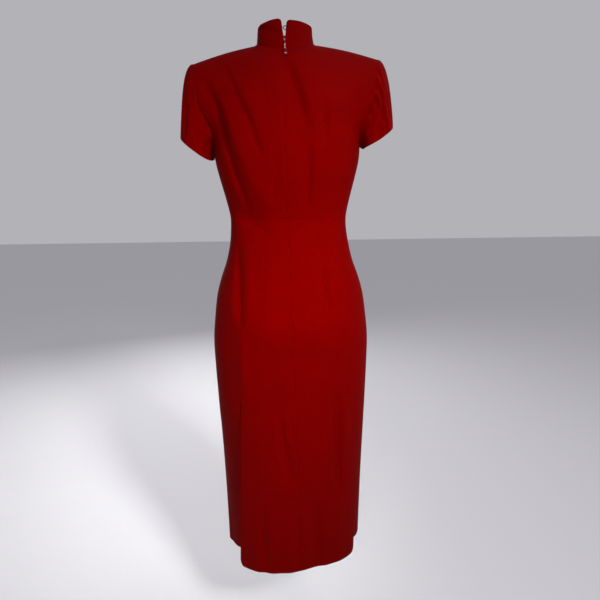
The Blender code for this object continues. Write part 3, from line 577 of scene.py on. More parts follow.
def meshFromLayers(name, outer, inner, turned, ring, material):
    rows, columns = outer.shape[:2]
    outerIndex = np.arange(rows * columns).reshape(rows, columns)
    innerIndex = outerIndex.copy()
    inside = (slice(1, -1), slice(None)) if ring else (slice(1, -1), slice(1, -1))
    count = innerIndex[inside].size
    innerIndex[inside] = rows * columns + np.arange(count).reshape(innerIndex[inside].shape)
    vertices = np.concatenate([outer.reshape(-1, 3), inner[inside].reshape(-1, 3)])
    faces = []
    for index, flip in ((outerIndex, turned), (innerIndex, not turned)):
        beside = np.roll(index, -1, axis=1) if ring else index[:, 1:]
        own = index if ring else index[:, :-1]
        corners = [own[:-1], beside[:-1], beside[1:], own[1:]]
        if flip:
            corners.reverse()
        faces.append(np.stack(corners, axis=-1).reshape(-1, 4))
    return meshObject(name, vertices, np.concatenate(faces), material)


def addObject(name, data):
    made = bpy.data.objects.new(name, data)
    bpy.context.scene.collection.objects.link(made)
    return made


def meshObject(name, vertices, faces, material, body="dress"):
    mesh = bpy.data.meshes.new(name)
    mesh.from_pydata(np.asarray(vertices).tolist(), [], [list(map(int, f)) for f in faces])
    mesh.validate()
    mesh.polygons.foreach_set("use_smooth", np.ones(len(mesh.polygons), dtype=bool))
    mesh.update()
    piece = addObject(name, mesh)
    mesh.materials.append(materials[material])
    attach(piece, body)
    return piece


# materials; their sizes are in millimetres

waveScale = 314     # the wave texture's scale, times the width of one band


def fromHex(text):
    # sRGB hex to linear
    channels = [int(text[i:i + 2], 16) / 255 for i in (0, 2, 4)]
    linear = [c / 12.92 if c <= 0.04045 else ((c + 0.055) / 1.055) ** 2.4 for c in channels]
    return (*linear, 1.0)


def setInputs(tree, node, inputs):
    for key, value in inputs.items():
        if isinstance(value, bpy.types.NodeSocket):
            tree.links.new(value, node.inputs[key])
        else:
            node.inputs[key].default_value = value


def addNode(tree, kind, inputs=None, **settings):
    node = tree.nodes.new(kind)
    for key, value in settings.items():
        setattr(node, key, value)
    setInputs(tree, node, inputs or {})
    return node


# sockets of the mix node when it mixes colours
mixFactor, mixFirst, mixSecond, mixResult = 0, 6, 7, 2


def newMaterial(name):
    made = bpy.data.materials.new(name)
    made.use_nodes = True
    tree = made.node_tree
    tree.nodes.clear()
    output = addNode(tree, "ShaderNodeOutputMaterial")
    shader = addNode(tree, "ShaderNodeBsdfPrincipled")
    tree.links.new(shader.outputs["BSDF"], output.inputs["Surface"])
    place = addNode(tree, "ShaderNodeTexCoord").outputs["Object"]
    return made, tree, shader, place


def crepe():
    # polyester crepe, woven from tightly twisted yarn and piece-dyed: a dull, pebbled face
    look = {
        "deep": "590000",
        "bright": "5B0000",
        "pebble": 1.1,        # real pebbles are about 0.5 mm, drawn twice as coarse to show
        "pebbleShade": (0.86, 1.08),
        "pebbleBump": (0.55, 0.4),    # strength and height
        "mottle": 45,         # patches where the twist takes the dye differently
        "slub": 6,            # thicker places in the yarn, drawn out down the warp
        "slubStretch": 0.35,
        "slubBump": (0.25, 0.6),
        "roughness": (0.72, 0.86),
        "specular": 0.04,
        "specularTint": "C01018",
        "sheen": 0.06,
        "sheenRoughness": 0.6,
        "sheenTint": "B00008",
    }
    made, tree, shader, place = newMaterial("red crepe")
    mottle = addNode(tree, "ShaderNodeTexNoise",
                     {"Vector": place, "Scale": 1000 / look["mottle"], "Detail": 3.0})
    pebble = addNode(tree, "ShaderNodeTexNoise",
                     {"Vector": place, "Scale": 1000 / look["pebble"], "Detail": 2.0, "Roughness": 0.6})
    stretched = addNode(tree, "ShaderNodeMapping",
                        {"Vector": place, "Scale": (1.0, 1.0, look["slubStretch"])})
    slub = addNode(tree, "ShaderNodeTexNoise",
                   {"Vector": stretched.outputs["Vector"], "Scale": 1000 / look["slub"], "Detail": 2.0})
    shade = addNode(tree, "ShaderNodeMapRange",
                    {"Value": mottle.outputs["Fac"], "From Min": 0.3, "From Max": 0.7})
    base = addNode(tree, "ShaderNodeMix",
                   {mixFactor: shade.outputs["Result"], mixFirst: fromHex(look["deep"]),
                    mixSecond: fromHex(look["bright"])}, data_type="RGBA")
    dark, light = look["pebbleShade"]
    grain = addNode(tree, "ShaderNodeMapRange",
                    {"Value": pebble.outputs["Fac"], "From Min": 0.3, "From Max": 0.7,
                     "To Min": dark, "To Max": light})
    value = addNode(tree, "ShaderNodeHueSaturation",
                    {"Color": base.outputs[mixResult], "Value": grain.outputs["Result"]})
    smooth, coarse = look["roughness"]
    rough = addNode(tree, "ShaderNodeMapRange",
                    {"Value": pebble.outputs["Fac"], "To Min": smooth, "To Max": coarse})
    strength, height = look["slubBump"]
    low = addNode(tree, "ShaderNodeBump",
                  {"Height": slub.outputs["Fac"], "Strength": strength, "Distance": height / 1000})
    strength, height = look["pebbleBump"]
    fine = addNode(tree, "ShaderNodeBump",
                   {"Height": pebble.outputs["Fac"], "Strength": strength, "Distance": height / 1000,
                    "Normal": low.outputs["Normal"]})
    setInputs(tree, shader, {
        "Base Color": value.outputs["Color"],
        "Roughness": rough.outputs["Result"],
        "Normal": fine.outputs["Normal"],
        "Specular IOR Level": look["specular"],
        "Specular Tint": fromHex(look["specularTint"]),
        "Sheen Weight": look["sheen"],
        "Sheen Roughness": look["sheenRoughness"],
        "Sheen Tint": fromHex(look["sheenTint"]),
    })
    return made


def twoTone(name, look, pattern, kind="ShaderNodeTexNoise", **settings):
    # two close shades of one colour, mixed by a pattern
    made, tree, shader, place = newMaterial(name)
    shape = addNode(tree, kind, {"Vector": place, **pattern}, **settings)
    colour = addNode(tree, "ShaderNodeMix",
                     {mixFactor: shape.outputs["Fac"], mixFirst: fromHex(look["dark"]),
                      mixSecond: fromHex(look["light"])}, data_type="RGBA")
    setInputs(tree, shader, {"Base Color": colour.outputs[mixResult], "Roughness": look["roughness"]})
    return made, tree, shader, shape


def wovenTape():
    # polyester tape, woven in a fine rib: a flat, slightly smoother red than the crepe
    look = {"dark": "6E0005", "light": "8C0209", "rib": 0.6, "bump": (0.5, 0.2),
            "roughness": 0.7, "specular": 0.2}
    pattern = {"Scale": waveScale / look["rib"], "Distortion": 0.6, "Detail": 1.0}
    made, tree, shader, ribs = twoTone("woven zip tape", look, pattern, "ShaderNodeTexWave",
                                       wave_type="BANDS", bands_direction="Z")
    strength, height = look["bump"]
    bump = addNode(tree, "ShaderNodeBump",
                   {"Height": ribs.outputs["Fac"], "Strength": strength, "Distance": height / 1000})
    setInputs(tree, shader, {"Normal": bump.outputs["Normal"], "Specular IOR Level": look["specular"]})
    return made


def nylonCoil():
    # nylon 6 monofilament, extruded and dyed: a soft plastic gloss
    look = {"dark": "7A0006", "light": "980410", "patch": 3, "roughness": 0.35, "ior": 1.53}
    made, tree, shader, _ = twoTone("dyed nylon coil", look, {"Scale": 1000 / look["patch"]})
    setInputs(tree, shader, {"IOR": look["ior"]})
    return made


def sewingThread():
    # spun polyester thread, two-ply: a hairy matt line a little darker than the cloth
    look = {"dark": "68000A", "light": "8E0610", "ply": 0.7, "roughness": 0.75, "specular": 0.2}
    pattern = {"Scale": waveScale / look["ply"], "Distortion": 1.5}
    made, tree, shader, _ = twoTone("red sewing thread", look, pattern, "ShaderNodeTexWave",
                                    wave_type="BANDS", bands_direction="DIAGONAL")
    setInputs(tree, shader, {"Specular IOR Level": look["specular"]})
    return made


def paintedFloor():
    # emulsion-painted board: matt, with a faint roller texture
    look = {"dark": "D4D3D6", "light": "DCDBDE", "roller": 4, "roughness": 0.9}
    return twoTone("painted floor", look, {"Scale": 1000 / look["roller"], "Detail": 2.0})[0]


def wornMetal(name, look):
    # a layer on metal, broken by noise into lighter metallic patches: rubbed through where it is worn on
    # the steel wire, and painted glints on the lacquered zinc
    made, tree, shader, place = newMaterial(name)
    wearAndGlintNoise = addNode(tree, "ShaderNodeTexNoise",
                   {"Vector": place, "Scale": 1000 / look["patch"], "Detail": 3.0})
    begins, ends = look["worn"]
    wearAndGlintMask = addNode(tree, "ShaderNodeMapRange",
                     {"Value": wearAndGlintNoise.outputs["Fac"], "From Min": begins, "From Max": ends})
    # the patches' lighter metallic colour: real wear on the steel wire, painted glints on the zinc
    colour = addNode(tree, "ShaderNodeMix",
                     {mixFactor: wearAndGlintMask.outputs["Result"], mixFirst: fromHex(look["layer"]),
                      mixSecond: fromHex(look["bareAndGlintColour"])}, data_type="RGBA")
    setInputs(tree, shader, {"Base Color": colour.outputs[mixResult], "Metallic": wearAndGlintMask.outputs["Result"]})
    return made, tree, shader, wearAndGlintNoise


def lacqueredZinc():
    # zinc alloy, die-cast, tumbled and stoved with red lacquer: a gloss coat over bright metal; its light
    # pink metallic patches are painted glints, drawn as bare metal
    # painted glints: noise patches turn the lacquer into light pink metal where the tab should shine
    look = {"layer": "500003", "bareAndGlintColour": "D8A4A6", "patch": 5.6, "worn": (0.54, 0.60),
            "roughness": (0.18, 0.40), "specularTint": "E04048", "coat": 0.05, "coatRoughness": 0.12}
    made, tree, shader, wearAndGlintNoise = wornMetal("lacquered zinc", look)
    smooth, coarse = look["roughness"]
    rough = addNode(tree, "ShaderNodeMapRange",
                    {"Value": wearAndGlintNoise.outputs["Fac"], "To Min": smooth, "To Max": coarse})
    setInputs(tree, shader, {
        "Roughness": rough.outputs["Result"],
        "Specular Tint": fromHex(look["specularTint"]),
        "Coat Weight": look["coat"],
        "Coat Roughness": look["coatRoughness"],
    })
    return made


def blackenedSteel():
    # steel wire, drawn, bent and blackened: a dull dark oxide, with a brownish shine where it is rubbed
    look = {"layer": "120C06", "bareAndGlintColour": "6A5028", "patch": 0.8, "worn": (0.55, 0.70),
            "roughness": 0.45, "specular": 0.2}
    made, tree, shader, _ = wornMetal("blackened steel wire", look)
    setInputs(tree, shader, {"Roughness": look["roughness"], "Specular IOR Level": look["specular"]})
    return made


materials = {
    "red crepe": crepe(),
    "woven zip tape": wovenTape(),
    "dyed nylon coil": nylonCoil(),
    "lacquered zinc": lacqueredZinc(),
    "blackened steel wire": blackenedSteel(),
    "red sewing thread": sewingThread(),
    "painted floor": paintedFloor(),
}
print("materials made:", len(materials))


# darts, which show as pressed lines

darts = {
    "steps": (-0.0026, -0.0013, -0.0005, 0.0, 0.0005, 0.0013, 0.0026),  # columns beside the stitching
    "room": 1.6,              # the other columns keep away by this much of the steps' reach
    "depth": 0.00018,
    "width": 0.0011,
    "fade": 0.05,             # share of the panel's height over which a dart ends
    "past": 0.02,             # it counts as this far away beyond its tip
}


def pinnedShares(panel, levels):
    # one column follows the dart, with close columns beside it, and the others make room
    low, high, tip = panel["dart"]
    base = withEdges(panel["columns"], panel["width"])
    centre = mix(low, high, 0.5)
    near = np.array(darts["steps"]) / panel["width"]
    room = near * darts["room"]
    kept = base[(base < centre + room[0]) | (base > centre + room[-1])]
    base = np.sort(np.concatenate([kept, centre + near]))
    where = mix(low, high, np.clip(levels / tip, 0, 1))
    shares = np.empty((len(levels), len(base)))
    for row, target in enumerate(where):
        shares[row] = np.interp(base, (0, centre + near[0], centre + near[-1], 1),
                                (0, target + near[0], target + near[-1], 1))
    return shares, int(np.argmin(np.abs(base - centre)))


def dartLine(points, levels, panel, column):
    # distance from the dart's stitching, with its depth and width
    past = np.clip((levels - panel["dart"][2]) / darts["fade"], 0, 1)[:, None]
    distance = lengthOf(points - points[:, column:column + 1]) + past * darts["past"]
    return distance, darts["depth"], darts["width"]


def axisHint(points):
    # a point inside the dress for each point of the cloth, lower down at the shoulders
    above, lower = form["hintLower"]
    z = points[..., 2] - np.where(points[..., 2] > above, lower, 0.0)
    return joined(0 * z, 0 * z, z)


def buildPanels(name, panels, levels, surface):
    # the two halves of the back, and then the front as one piece
    for ending, node, hand in (("BackLeft", "_back_left", 1), ("BackRight", "_back_right", -1),
                               ("Front", "_front", 0)):
        panel = panels["back" if hand else "front"]
        shares, column = pinnedShares(panel, levels)
        if hand:
            points = surface(shares, levels[:, None], hand, "back")
            columns = (column,)
        else:
            left = surface(shares, levels[:, None], 1, "front")
            right = surface(shares, levels[:, None], -1, "front")
            points = np.concatenate([left, right[:, ::-1][:, 1:]], axis=1)
            columns = (column, points.shape[1] - 1 - column)
        lines = [dartLine(points, levels, panel, column) for column in columns]
        piece = clothShell(name + ending, points, axisHint(points), panel["seams"], panel["hems"],
                           panel["slits"], lines)
        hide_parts(name + node)


# bodice

bodice = {
    "rows": (46, 92),         # below the underarm and above it
    "lastRow": 0.985,         # of the lower rows, so that none lies close to the underarm's
    "back": {
        "columns": 66,
        "width": 0.20,
        "dart": (0.640, 0.735, 1.02),       # share of the width at the waist and the tip, the tip's level
        "seams": ("start", "end", "first", "last"),
        "hems": (),
        "slits": (),
        "cut": (0.235, 0.375),
        "area": {1: 0.0755, -1: 0.0755},    # by hand, and 0 for both
    },
    "front": {
        "columns": 66,
        "width": 0.22,
        "dart": (0.600, 0.640, 0.78),
        "seams": ("start", "end", "first", "last"),
        "hems": (),
        "slits": (),
        "cut": (0.470, 0.400),
        "area": {0: 0.164},
    },
    "softenReach": 0.16,      # how far across the kink below the neck's corner is eased
    "softenLevels": (0.25, 0.12),
    "softenAside": 0.2,
    "softenSteps": ((-1, 0.12), (-0.6, 0.20), (-0.2, 0.18), (0.2, 0.18), (0.6, 0.20), (1, 0.12)),
}


def softPoints(shares, levels, hand, side):
    # averaged across the upper bodice, where a kink would run down from the neck's corner
    grows, ends = bodice["softenLevels"]
    reach = bodice["softenReach"] * ease((levels - 1) / grows) * ease((2 - levels) / ends)
    aside = bodice["softenAside"]
    reach = reach * ease(shares / aside) * ease((1 - shares) / aside)
    points = bodicePoints(shares, levels, hand, side)
    points = points - bodicePoints(shares, levels, hand, side, folded=False)
    for step, weight in bodice["softenSteps"]:
        points += weight * bodicePoints(shares + step * reach, levels, hand, side, folded=False)
    return points


def bodiceLevels():
    lower, upper = bodice["rows"]
    waist = withEdges(lower, form["underarmZ"] - form["waistZ"])
    return np.concatenate([waist[waist < bodice["lastRow"]], 1 + closerAtEnds(upper)])


buildPanels("bodice", bodice, bodiceLevels(), softPoints)
print("bodice built")


# skirt

skirt = {
    "rows": 214,
    "back": {
        "columns": 54,
        "width": 0.18,
        "dart": (0.560, 0.600, 0.135),
        "seams": ("start", "last"),
        "hems": ("end",),
        "slits": ("first",),
        "cut": (0.205, 0.895),
        "area": {1: 0.1265, -1: 0.1425},
    },
    "front": {
        "columns": 70,
        "width": 0.30,
        "dart": (0.640, 0.655, 0.105),
        "seams": ("start",),
        "hems": ("end",),
        "slits": ("first", "last"),
        "cut": (0.660, 0.895),
        "area": {0: 0.567},
    },
}

buildPanels("skirt", skirt, withEdges(skirt["rows"], form["waistZ"] - form["hemZ"]), skirtPoints)
print("skirt built")


# sleeves

sleeve = {
    "columns": 132,
    "rows": 58,
    "length": 0.17,
    "hemX": 0.2050,
    "hemZ": (-0.2125, -0.1945),
    "hemHalf": 0.0345,
    "hemDepth": 0.0610,
    "hemRound": 0.80,         # exponent of the hem's oval, 1 is an ellipse
    "hemRise": (0.76, 0.64),
    "hemDropBack": 0.16,
    "setback": -0.0002,       # past the armhole's line; below 0 the sleeve's rim meets the bodice's
    "capOut": (0.0065, 0.0220),
    "hemSlant": 0.10,
    "hemStraight": 0.55,
    "tuckAt": (0.36, 0.055),  # a tuck beside the armhole's seam: its middle, round and down
    "tuckSize": (0.11, 0.030),
    "tuckDepth": (0.0046, 0.0018),
    "creaseEnd": 0.12,        # share of the length over which a crease fades
    "swell": (0.45, 1.9, 0.8),      # beside a crease: share of its depth, how far out, width
    "fade": (0.04, 0.05, 0.3),      # at the armhole, at the hem, and what is left there
    "cut": (0.340, 0.165),
    "areas": (0.0331, 0.0289),
}

# creases in a sleeve: hand, start turn and share down, end turn and share down, half width, depth
sleeveFolds = (
    (1, 0.10, 0.10, 0.16, 0.62, 0.026, 0.0024),
    (1, 0.20, 0.24, 0.18, 0.86, 0.028, 0.0028),
    (1, 0.26, 0.50, 0.23, 0.92, 0.018, 0.0020),
    (1, 0.33, 0.16, 0.28, 0.80, 0.026, 0.0032),
    (1, 0.42, 0.10, 0.36, 0.70, 0.024, 0.0024),
    (1, 0.70, 0.12, 0.76, 0.75, 0.030, 0.0018),
    (1, 0.88, 0.10, 0.84, 0.60, 0.028, 0.0014),
    (-1, 0.06, 0.12, 0.09, 0.55, 0.024, 0.0016),
    (-1, 0.13, 0.30, 0.11, 0.90, 0.026, 0.0024),
    (-1, 0.15, 0.08, 0.17, 0.38, 0.012, 0.0024),
    (-1, 0.20, 0.06, 0.21, 0.33, 0.011, 0.0026),
    (-1, 0.19, 0.30, 0.23, 0.62, 0.020, 0.0022),
    (-1, 0.25, 0.08, 0.25, 0.40, 0.012, 0.0024),
    (-1, 0.30, 0.06, 0.29, 0.32, 0.011, 0.0022),
    (-1, 0.28, 0.40, 0.24, 0.92, 0.028, 0.0022),
    (-1, 0.17, 0.60, 0.15, 0.88, 0.013, 0.0024),
    (-1, 0.23, 0.64, 0.20, 0.93, 0.012, 0.0022),
    (-1, 0.37, 0.60, 0.35, 1.10, 0.050, -0.0034),
    (-1, 0.36, 0.10, 0.31, 0.55, 0.020, 0.0018),
    (-1, 0.44, 0.12, 0.42, 0.55, 0.022, 0.0010),
    (-1, 0.72, 0.12, 0.78, 0.70, 0.030, 0.0018),
    (-1, 0.90, 0.10, 0.86, 0.62, 0.026, 0.0014),
)


def sleevePoints(turned, along, hand):
    # turned 0 is the shoulder, 0.25 the back and 0.5 the underarm
    angle = 2 * math.pi * turned
    behind = np.sin(angle) >= 0
    top = (1 + np.cos(angle)) / 2
    start = armholePoints(top, hand, behind)
    start[..., 0] += hand * sleeve["setback"]
    out = sleeve["hemHalf"] * signedPower(np.cos(angle), sleeve["hemRound"])
    y = sleeve["hemDepth"] * signedPower(np.sin(angle), sleeve["hemRound"])
    z = bySide(sleeve["hemZ"], hand) + bySide(sleeve["hemRise"], hand) * out - sleeve["hemDropBack"] * y
    end = joined(hand * (sleeve["hemX"] + out), y, z)
    reach = lengthOf(end - start)[..., None]
    startPull = start + joined(hand * mix(*sleeve["capOut"], ease(top)), 0.0, 0.0)
    endPull = end + np.array((-hand * sleeve["hemSlant"], 0.0, 1.0)) * reach * sleeve["hemStraight"]
    a, b = 1 - along[..., None], along[..., None]
    return start * a ** 3 + startPull * 3 * a * a * b + endPull * 3 * a * b * b + end * b ** 3


def sleeveDrop(turned, along, hand):
    # how far the creases and the tuck lie in the cloth
    drop = np.zeros(turned.shape)
    swell, swellAt, swellWidth = sleeve["swell"]
    for own, turn0, down0, turn1, down1, half, depth in sleeveFolds:
        if own != hand:
            continue
        share = np.clip((along - down0) / (down1 - down0), 0, 1)
        across = (turned - mix(turn0, turn1, share)) / half
        past = (along - mix(down0, down1, share)) / sleeve["creaseEnd"]
        drop += depth * np.exp(-across ** 2 - past ** 2)
        drop -= swell * depth * np.exp(-((np.abs(across) - swellAt) / swellWidth) ** 2 - past ** 2)
    middle, down = sleeve["tuckAt"]
    wide, high = sleeve["tuckSize"]
    tuck = np.exp(-((turned - middle) / wide) ** 2 - ((along - down) / high) ** 2)
    drop += bySide(sleeve["tuckDepth"], hand) * tuck
    start, end, left = sleeve["fade"]
    return drop * ease(along / start) * ease((1 - along) / end + left)


def buildSleeves():
    turned = np.arange(sleeve["columns"]) / sleeve["columns"]
    along = withEdges(sleeve["rows"], sleeve["length"])
    turned, along = np.meshgrid(turned, along)
    for hand, name, node in ((1, "sleeveLeft", "sleeve_left"), (-1, "sleeveRight", "sleeve_right")):
        points = sleevePoints(turned, along, hand)
        middle = points.mean(axis=1, keepdims=True)
        normals, _ = gridNormals(points, middle, ring=True)
        points = points - normals * sleeveDrop(turned, along, hand)[..., None]
        piece = clothShell(name, points, middle, ("start",), ("end",), ring=True)
        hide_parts(node)


buildSleeves()
print("sleeves built")


# collar

collar = {
    "columns": 190,
    "rows": 26,
    "topHalf": 0.0590,
    "topBack": 0.0430,
    "topFront": 0.0520,
    "topBackZ": (0.0410, 0.0385),
    "topSideZ": 0.0355,
    "topFrontZ": -0.0180,
    "corner": 0.0075,         # radius of the top corners
    "open": (0.0058, 0.0044),       # how far the back edges stand apart from the centre at the top
    "leanShare": 0.28,        # share of the half length that bends outwards
    "leanBack": 0.10,
    "shutShare": 0.16,        # share of the height that the zip keeps shut
    "leanCurve": 0.85,
    "halfLength": 0.17,
    "height": 0.055,
    "foldEnd": 0.03,          # share of the half length over which a crease fades
    "swell": (0.4, 1.8),      # beside a crease: share of its depth, and how far below
    "thick": 0.0018,
    "cut": (0.345, 0.055),
    "area": 0.0154,
}

# soft creases in the collar: hand, start share and rise, end share and rise, half width, depth
collarFolds = (
    (1, 0.66, 0.80, 0.94, 0.52, 0.0055, 0.0026),
    (1, 0.55, 0.30, 0.70, 0.20, 0.0130, 0.0006),
    (-1, 0.80, 0.30, 0.94, 0.24, 0.0130, 0.0006),
    (-1, 0.50, 0.55, 0.62, 0.35, 0.0130, 0.0006),
)


def collarDrop(share, rise, hand):
    # how far the creases lie in the cloth
    drop = np.zeros(np.broadcast(share, rise).shape)
    swell, swellAt = collar["swell"]
    for own, share0, rise0, share1, rise1, half, depth in collarFolds:
        if own != hand:
            continue
        near = np.clip((share - share0) / (share1 - share0), 0, 1)
        off = (rise - mix(rise0, rise1, near)) * collar["height"] / half
        past = (share - mix(share0, share1, near)) / collar["foldEnd"]
        drop += depth * np.exp(-off ** 2 - past ** 2)
        drop -= swell * depth * np.exp(-(off - swellAt) ** 2 - past ** 2)
    return drop


def collarPoints(share, rise, hand):
    # share 0 is the centre front and 1 the centre back
    angle = mix(-math.pi / 2, math.pi / 2, share)
    low = neckPoints(angle)
    behind = angle > 0
    depth = np.where(behind, collar["topBack"], collar["topFront"])
    endZ = np.where(behind, bySide(collar["topBackZ"], hand), collar["topFrontZ"])
    top = joined(collar["topHalf"] * np.cos(angle), depth * np.sin(angle),
                 mix(collar["topSideZ"], endZ, np.sin(angle) ** 2))
    corner = collar["corner"]
    fromBack = (1 - share) * collar["halfLength"]
    cut = corner - np.sqrt(np.maximum(0, corner ** 2 - np.maximum(0, corner - fromBack) ** 2))
    points = mix(low, top, (rise * (1 - cut / lengthOf(top - low)))[..., None])
    inward = joined(np.cos(angle), np.sin(angle), 0.0)
    points = points - inward * collarDrop(share, rise, hand)[..., None]
    leaning = np.maximum(0, (rise - collar["shutShare"]) / (1 - collar["shutShare"]))
    leaning = leaning ** collar["leanCurve"] * ease((share - 1 + collar["leanShare"]) / collar["leanShare"])
    openBy = bySide(collar["open"], hand) * leaning
    return joined((points[..., 0] + openBy) * hand, points[..., 1] + openBy * collar["leanBack"],
                  points[..., 2])


def buildCollar():
    across = withEdges(collar["columns"], 2 * collar["halfLength"])
    rises = withEdges(collar["rows"], collar["height"])
    across, rise = np.meshgrid(across, rises)
    share = np.abs(1 - 2 * across)
    points = np.where((across <= 0.5)[..., None], collarPoints(share, rise, 1),
                      collarPoints(share, rise, -1))
    hint = points * np.array((0, 0, 1.0))
    piece = clothShell("collarBand", points, hint, ("start",), thick=collar["thick"])
    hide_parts("collar")


buildCollar()
print("collar built")


# round pieces: wires, coils and rounded lumps

def ringFaces(index):
    beside = np.roll(index, -1, axis=1)
    return np.stack([index[:-1], beside[:-1], beside[1:], index[1:]], axis=-1).reshape(-1, 4).tolist()


def sweep(name, path, axis, radius, sides, material):
    # a round wire along a path, with flat ends; axis is a direction that the path never follows
    path = np.asarray(path)
    ahead = unit(np.gradient(path, axis=0))
    first = unit(np.cross(ahead, np.broadcast_to(axis, path.shape)))
    second = np.cross(ahead, first)
    turned = 2 * math.pi * np.arange(sides) / sides
    rings = path[:, None] + radius * (first[:, None] * np.cos(turned)[:, None]
                                      + second[:, None] * np.sin(turned)[:, None])
    index = np.arange(len(path) * sides).reshape(len(path), sides)
    faces = ringFaces(index) + [index[0].tolist(), index[-1][::-1].tolist()]
    return meshObject(name, rings.reshape(-1, 3), faces, material)


def loft(name, rings, material, body="dress", flip=False):
    # a closed lump from rings of points, with flat ends
    rings = np.asarray(rings)
    index = np.arange(rings.shape[0] * rings.shape[1]).reshape(rings.shape[:2])
    faces = ringFaces(index) + [index[0][::-1].tolist(), index[-1].tolist()]
    if flip:
        faces = [face[::-1] for face in faces]
    return meshObject(name, rings.reshape(-1, 3), faces, material, body)


# zip

zipper = {
    "lowZ": -0.584,           # the zip's lower end
    "collarShare": 0.86,      # share of the collar's height that the coils run up
    "bodiceHeight": 0.36,
    "collarHeight": 0.05,
    "tapeWidth": 0.012,
    "tapeThick": 0.0005,
    "tapeInset": 0.0004,      # from the centre line to the tape
    "tapeColumns": 7,
    "tapeSpacing": 0.004,     # from row to row
    "measured": 0.02,         # share of a panel at the centre over which its width is taken
    "under": 0.0003,          # between the cloth and the tape
    "tapeCut": (0.012, 0.62),
    "pitch": 0.0013,          # from one turn of the coil to the next
    "turnSteps": 8,
    "coilReach": (0.0011, 0.0008),  # sideways and inwards
    "coilAside": 0.0006,
    "coilSpacing": 0.003,
    "coilSides": 5,
    "besideShare": 0.03,      # where the cloth's direction is taken, as a share of a panel
    "wire": 0.00028,
}


def centreParts(hand, spacing):
    # up the centre back: functions from a share across a panel to a column of its points
    drop = form["waistZ"] - zipper["lowZ"]
    lowest = drop / (form["waistZ"] - form["hemZ"])
    onSkirt = np.linspace(lowest, 0, int(drop / spacing) + 2)[:-1]
    onBodice = np.linspace(0, 2, int(zipper["bodiceHeight"] / spacing) + 2)[:-1]
    onCollar = np.linspace(0, zipper["collarShare"], int(zipper["collarHeight"] / spacing) + 2)
    return (lambda share: skirtPoints(share, onSkirt, hand, "back"),
            lambda share: bodicePoints(share, onBodice, hand, "back"),
            lambda share: collarPoints(share, onCollar, hand))


def buildTape(hand, name, nodes):
    parts = centreParts(hand, zipper["tapeSpacing"])
    step = zipper["measured"]
    columns = []
    for across in np.linspace(0, 1, zipper["tapeColumns"]):
        near = zipper["tapeInset"] + across * zipper["tapeWidth"]
        column = []
        for part in parts:
            width = lengthOf(part(np.array(1 - step)) - part(np.array(1.0))) / step
            column.append(part(1 - near / width))
        columns.append(np.concatenate(column))
    points = np.stack(columns, axis=1)
    normals, turned = gridNormals(points, axisHint(points))
    deep = cloth["thick"] + zipper["under"]
    outer = points - normals * deep
    inner = points - normals * (deep + zipper["tapeThick"])
    piece = meshFromLayers(name, outer, inner, turned, False, "woven zip tape")
    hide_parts(*nodes)


def buildCoil(hand, name):
    parts = centreParts(hand, zipper["coilSpacing"])
    edge = np.concatenate([part(np.array(1.0)) for part in parts])
    beside = np.concatenate([part(np.array(1 - zipper["besideShare"])) for part in parts])
    sideways = unit(beside - edge)
    upward = unit(np.gradient(edge, axis=0))
    outward = unit(np.cross(upward, sideways) * hand)
    outward *= np.sign(outward[:, 1:2] + tiny)
    along = np.concatenate([[0], np.cumsum(lengthOf(np.diff(edge, axis=0)))])
    where = np.linspace(0, along[-1], int(along[-1] / zipper["pitch"] * zipper["turnSteps"]))
    edge, sideways, outward, upward = (
        np.stack([np.interp(where, along, values[:, k]) for k in range(3)], axis=1)
        for values in (edge, sideways, outward, upward))
    turn = 2 * math.pi * where / zipper["pitch"] + (math.pi if hand < 0 else 0)
    reach, depth = zipper["coilReach"]
    deep = cloth["thick"] + zipper["under"] + zipper["tapeThick"] + depth + zipper["wire"]
    path = edge + sideways * zipper["coilAside"] - outward * deep
    path += sideways * (np.cos(turn) * reach)[:, None] + outward * (np.sin(turn) * depth)[:, None]
    sweep(name, path, upward, zipper["wire"], zipper["coilSides"], "dyed nylon coil")


for hand, side in ((1, "left"), (-1, "right")):
    buildTape(hand, "zipTape" + side.capitalize(), (f"zip_tape_{side}_bodice", f"zip_tape_{side}_skirt"))
    buildCoil(hand, "zipCoil" + side.capitalize())
print("zip tapes and coils built")


# slider and pull tab

slider = {
    "z": 0.0010,
    "sides": 36,              # points round the plate and the lugs
    "plate": (0.0056, 0.0016, 0.0100),    # width, thickness and height
    "plateRows": 25,
    "plateRound": 0.45,       # exponent of its section
    "plateLow": 0.80,         # its width at the lower end, against the upper
    "plateEnds": (0.55, 0.45),      # what is left of the width and the thickness at the very ends
    "endCurve": (5, 0.4),
    "seatGap": 0.0003,
    "slot": 0.0030,           # between the two lugs that hold the pin
    "lug": (0.0012, 0.0030, 0.0062),      # thickness, reach from the cloth and height
    "lugFoot": 0.7,           # where it starts, in plate thicknesses
    "lugRound": (0.6, 0.7),
    # across a lug, as a share of its thickness, and its size there
    "lugRims": ((0, 0.90), (0.1176, 0.98), (0.294, 1.0), (0.686, 1.0), (0.8624, 0.98), (0.98, 0.90)),
    "pin": 0.00036,
    "pinSides": 12,
    "pinReach": 0.7,          # into each lug, as a share of its thickness
    "pullClear": 0.0004,
}
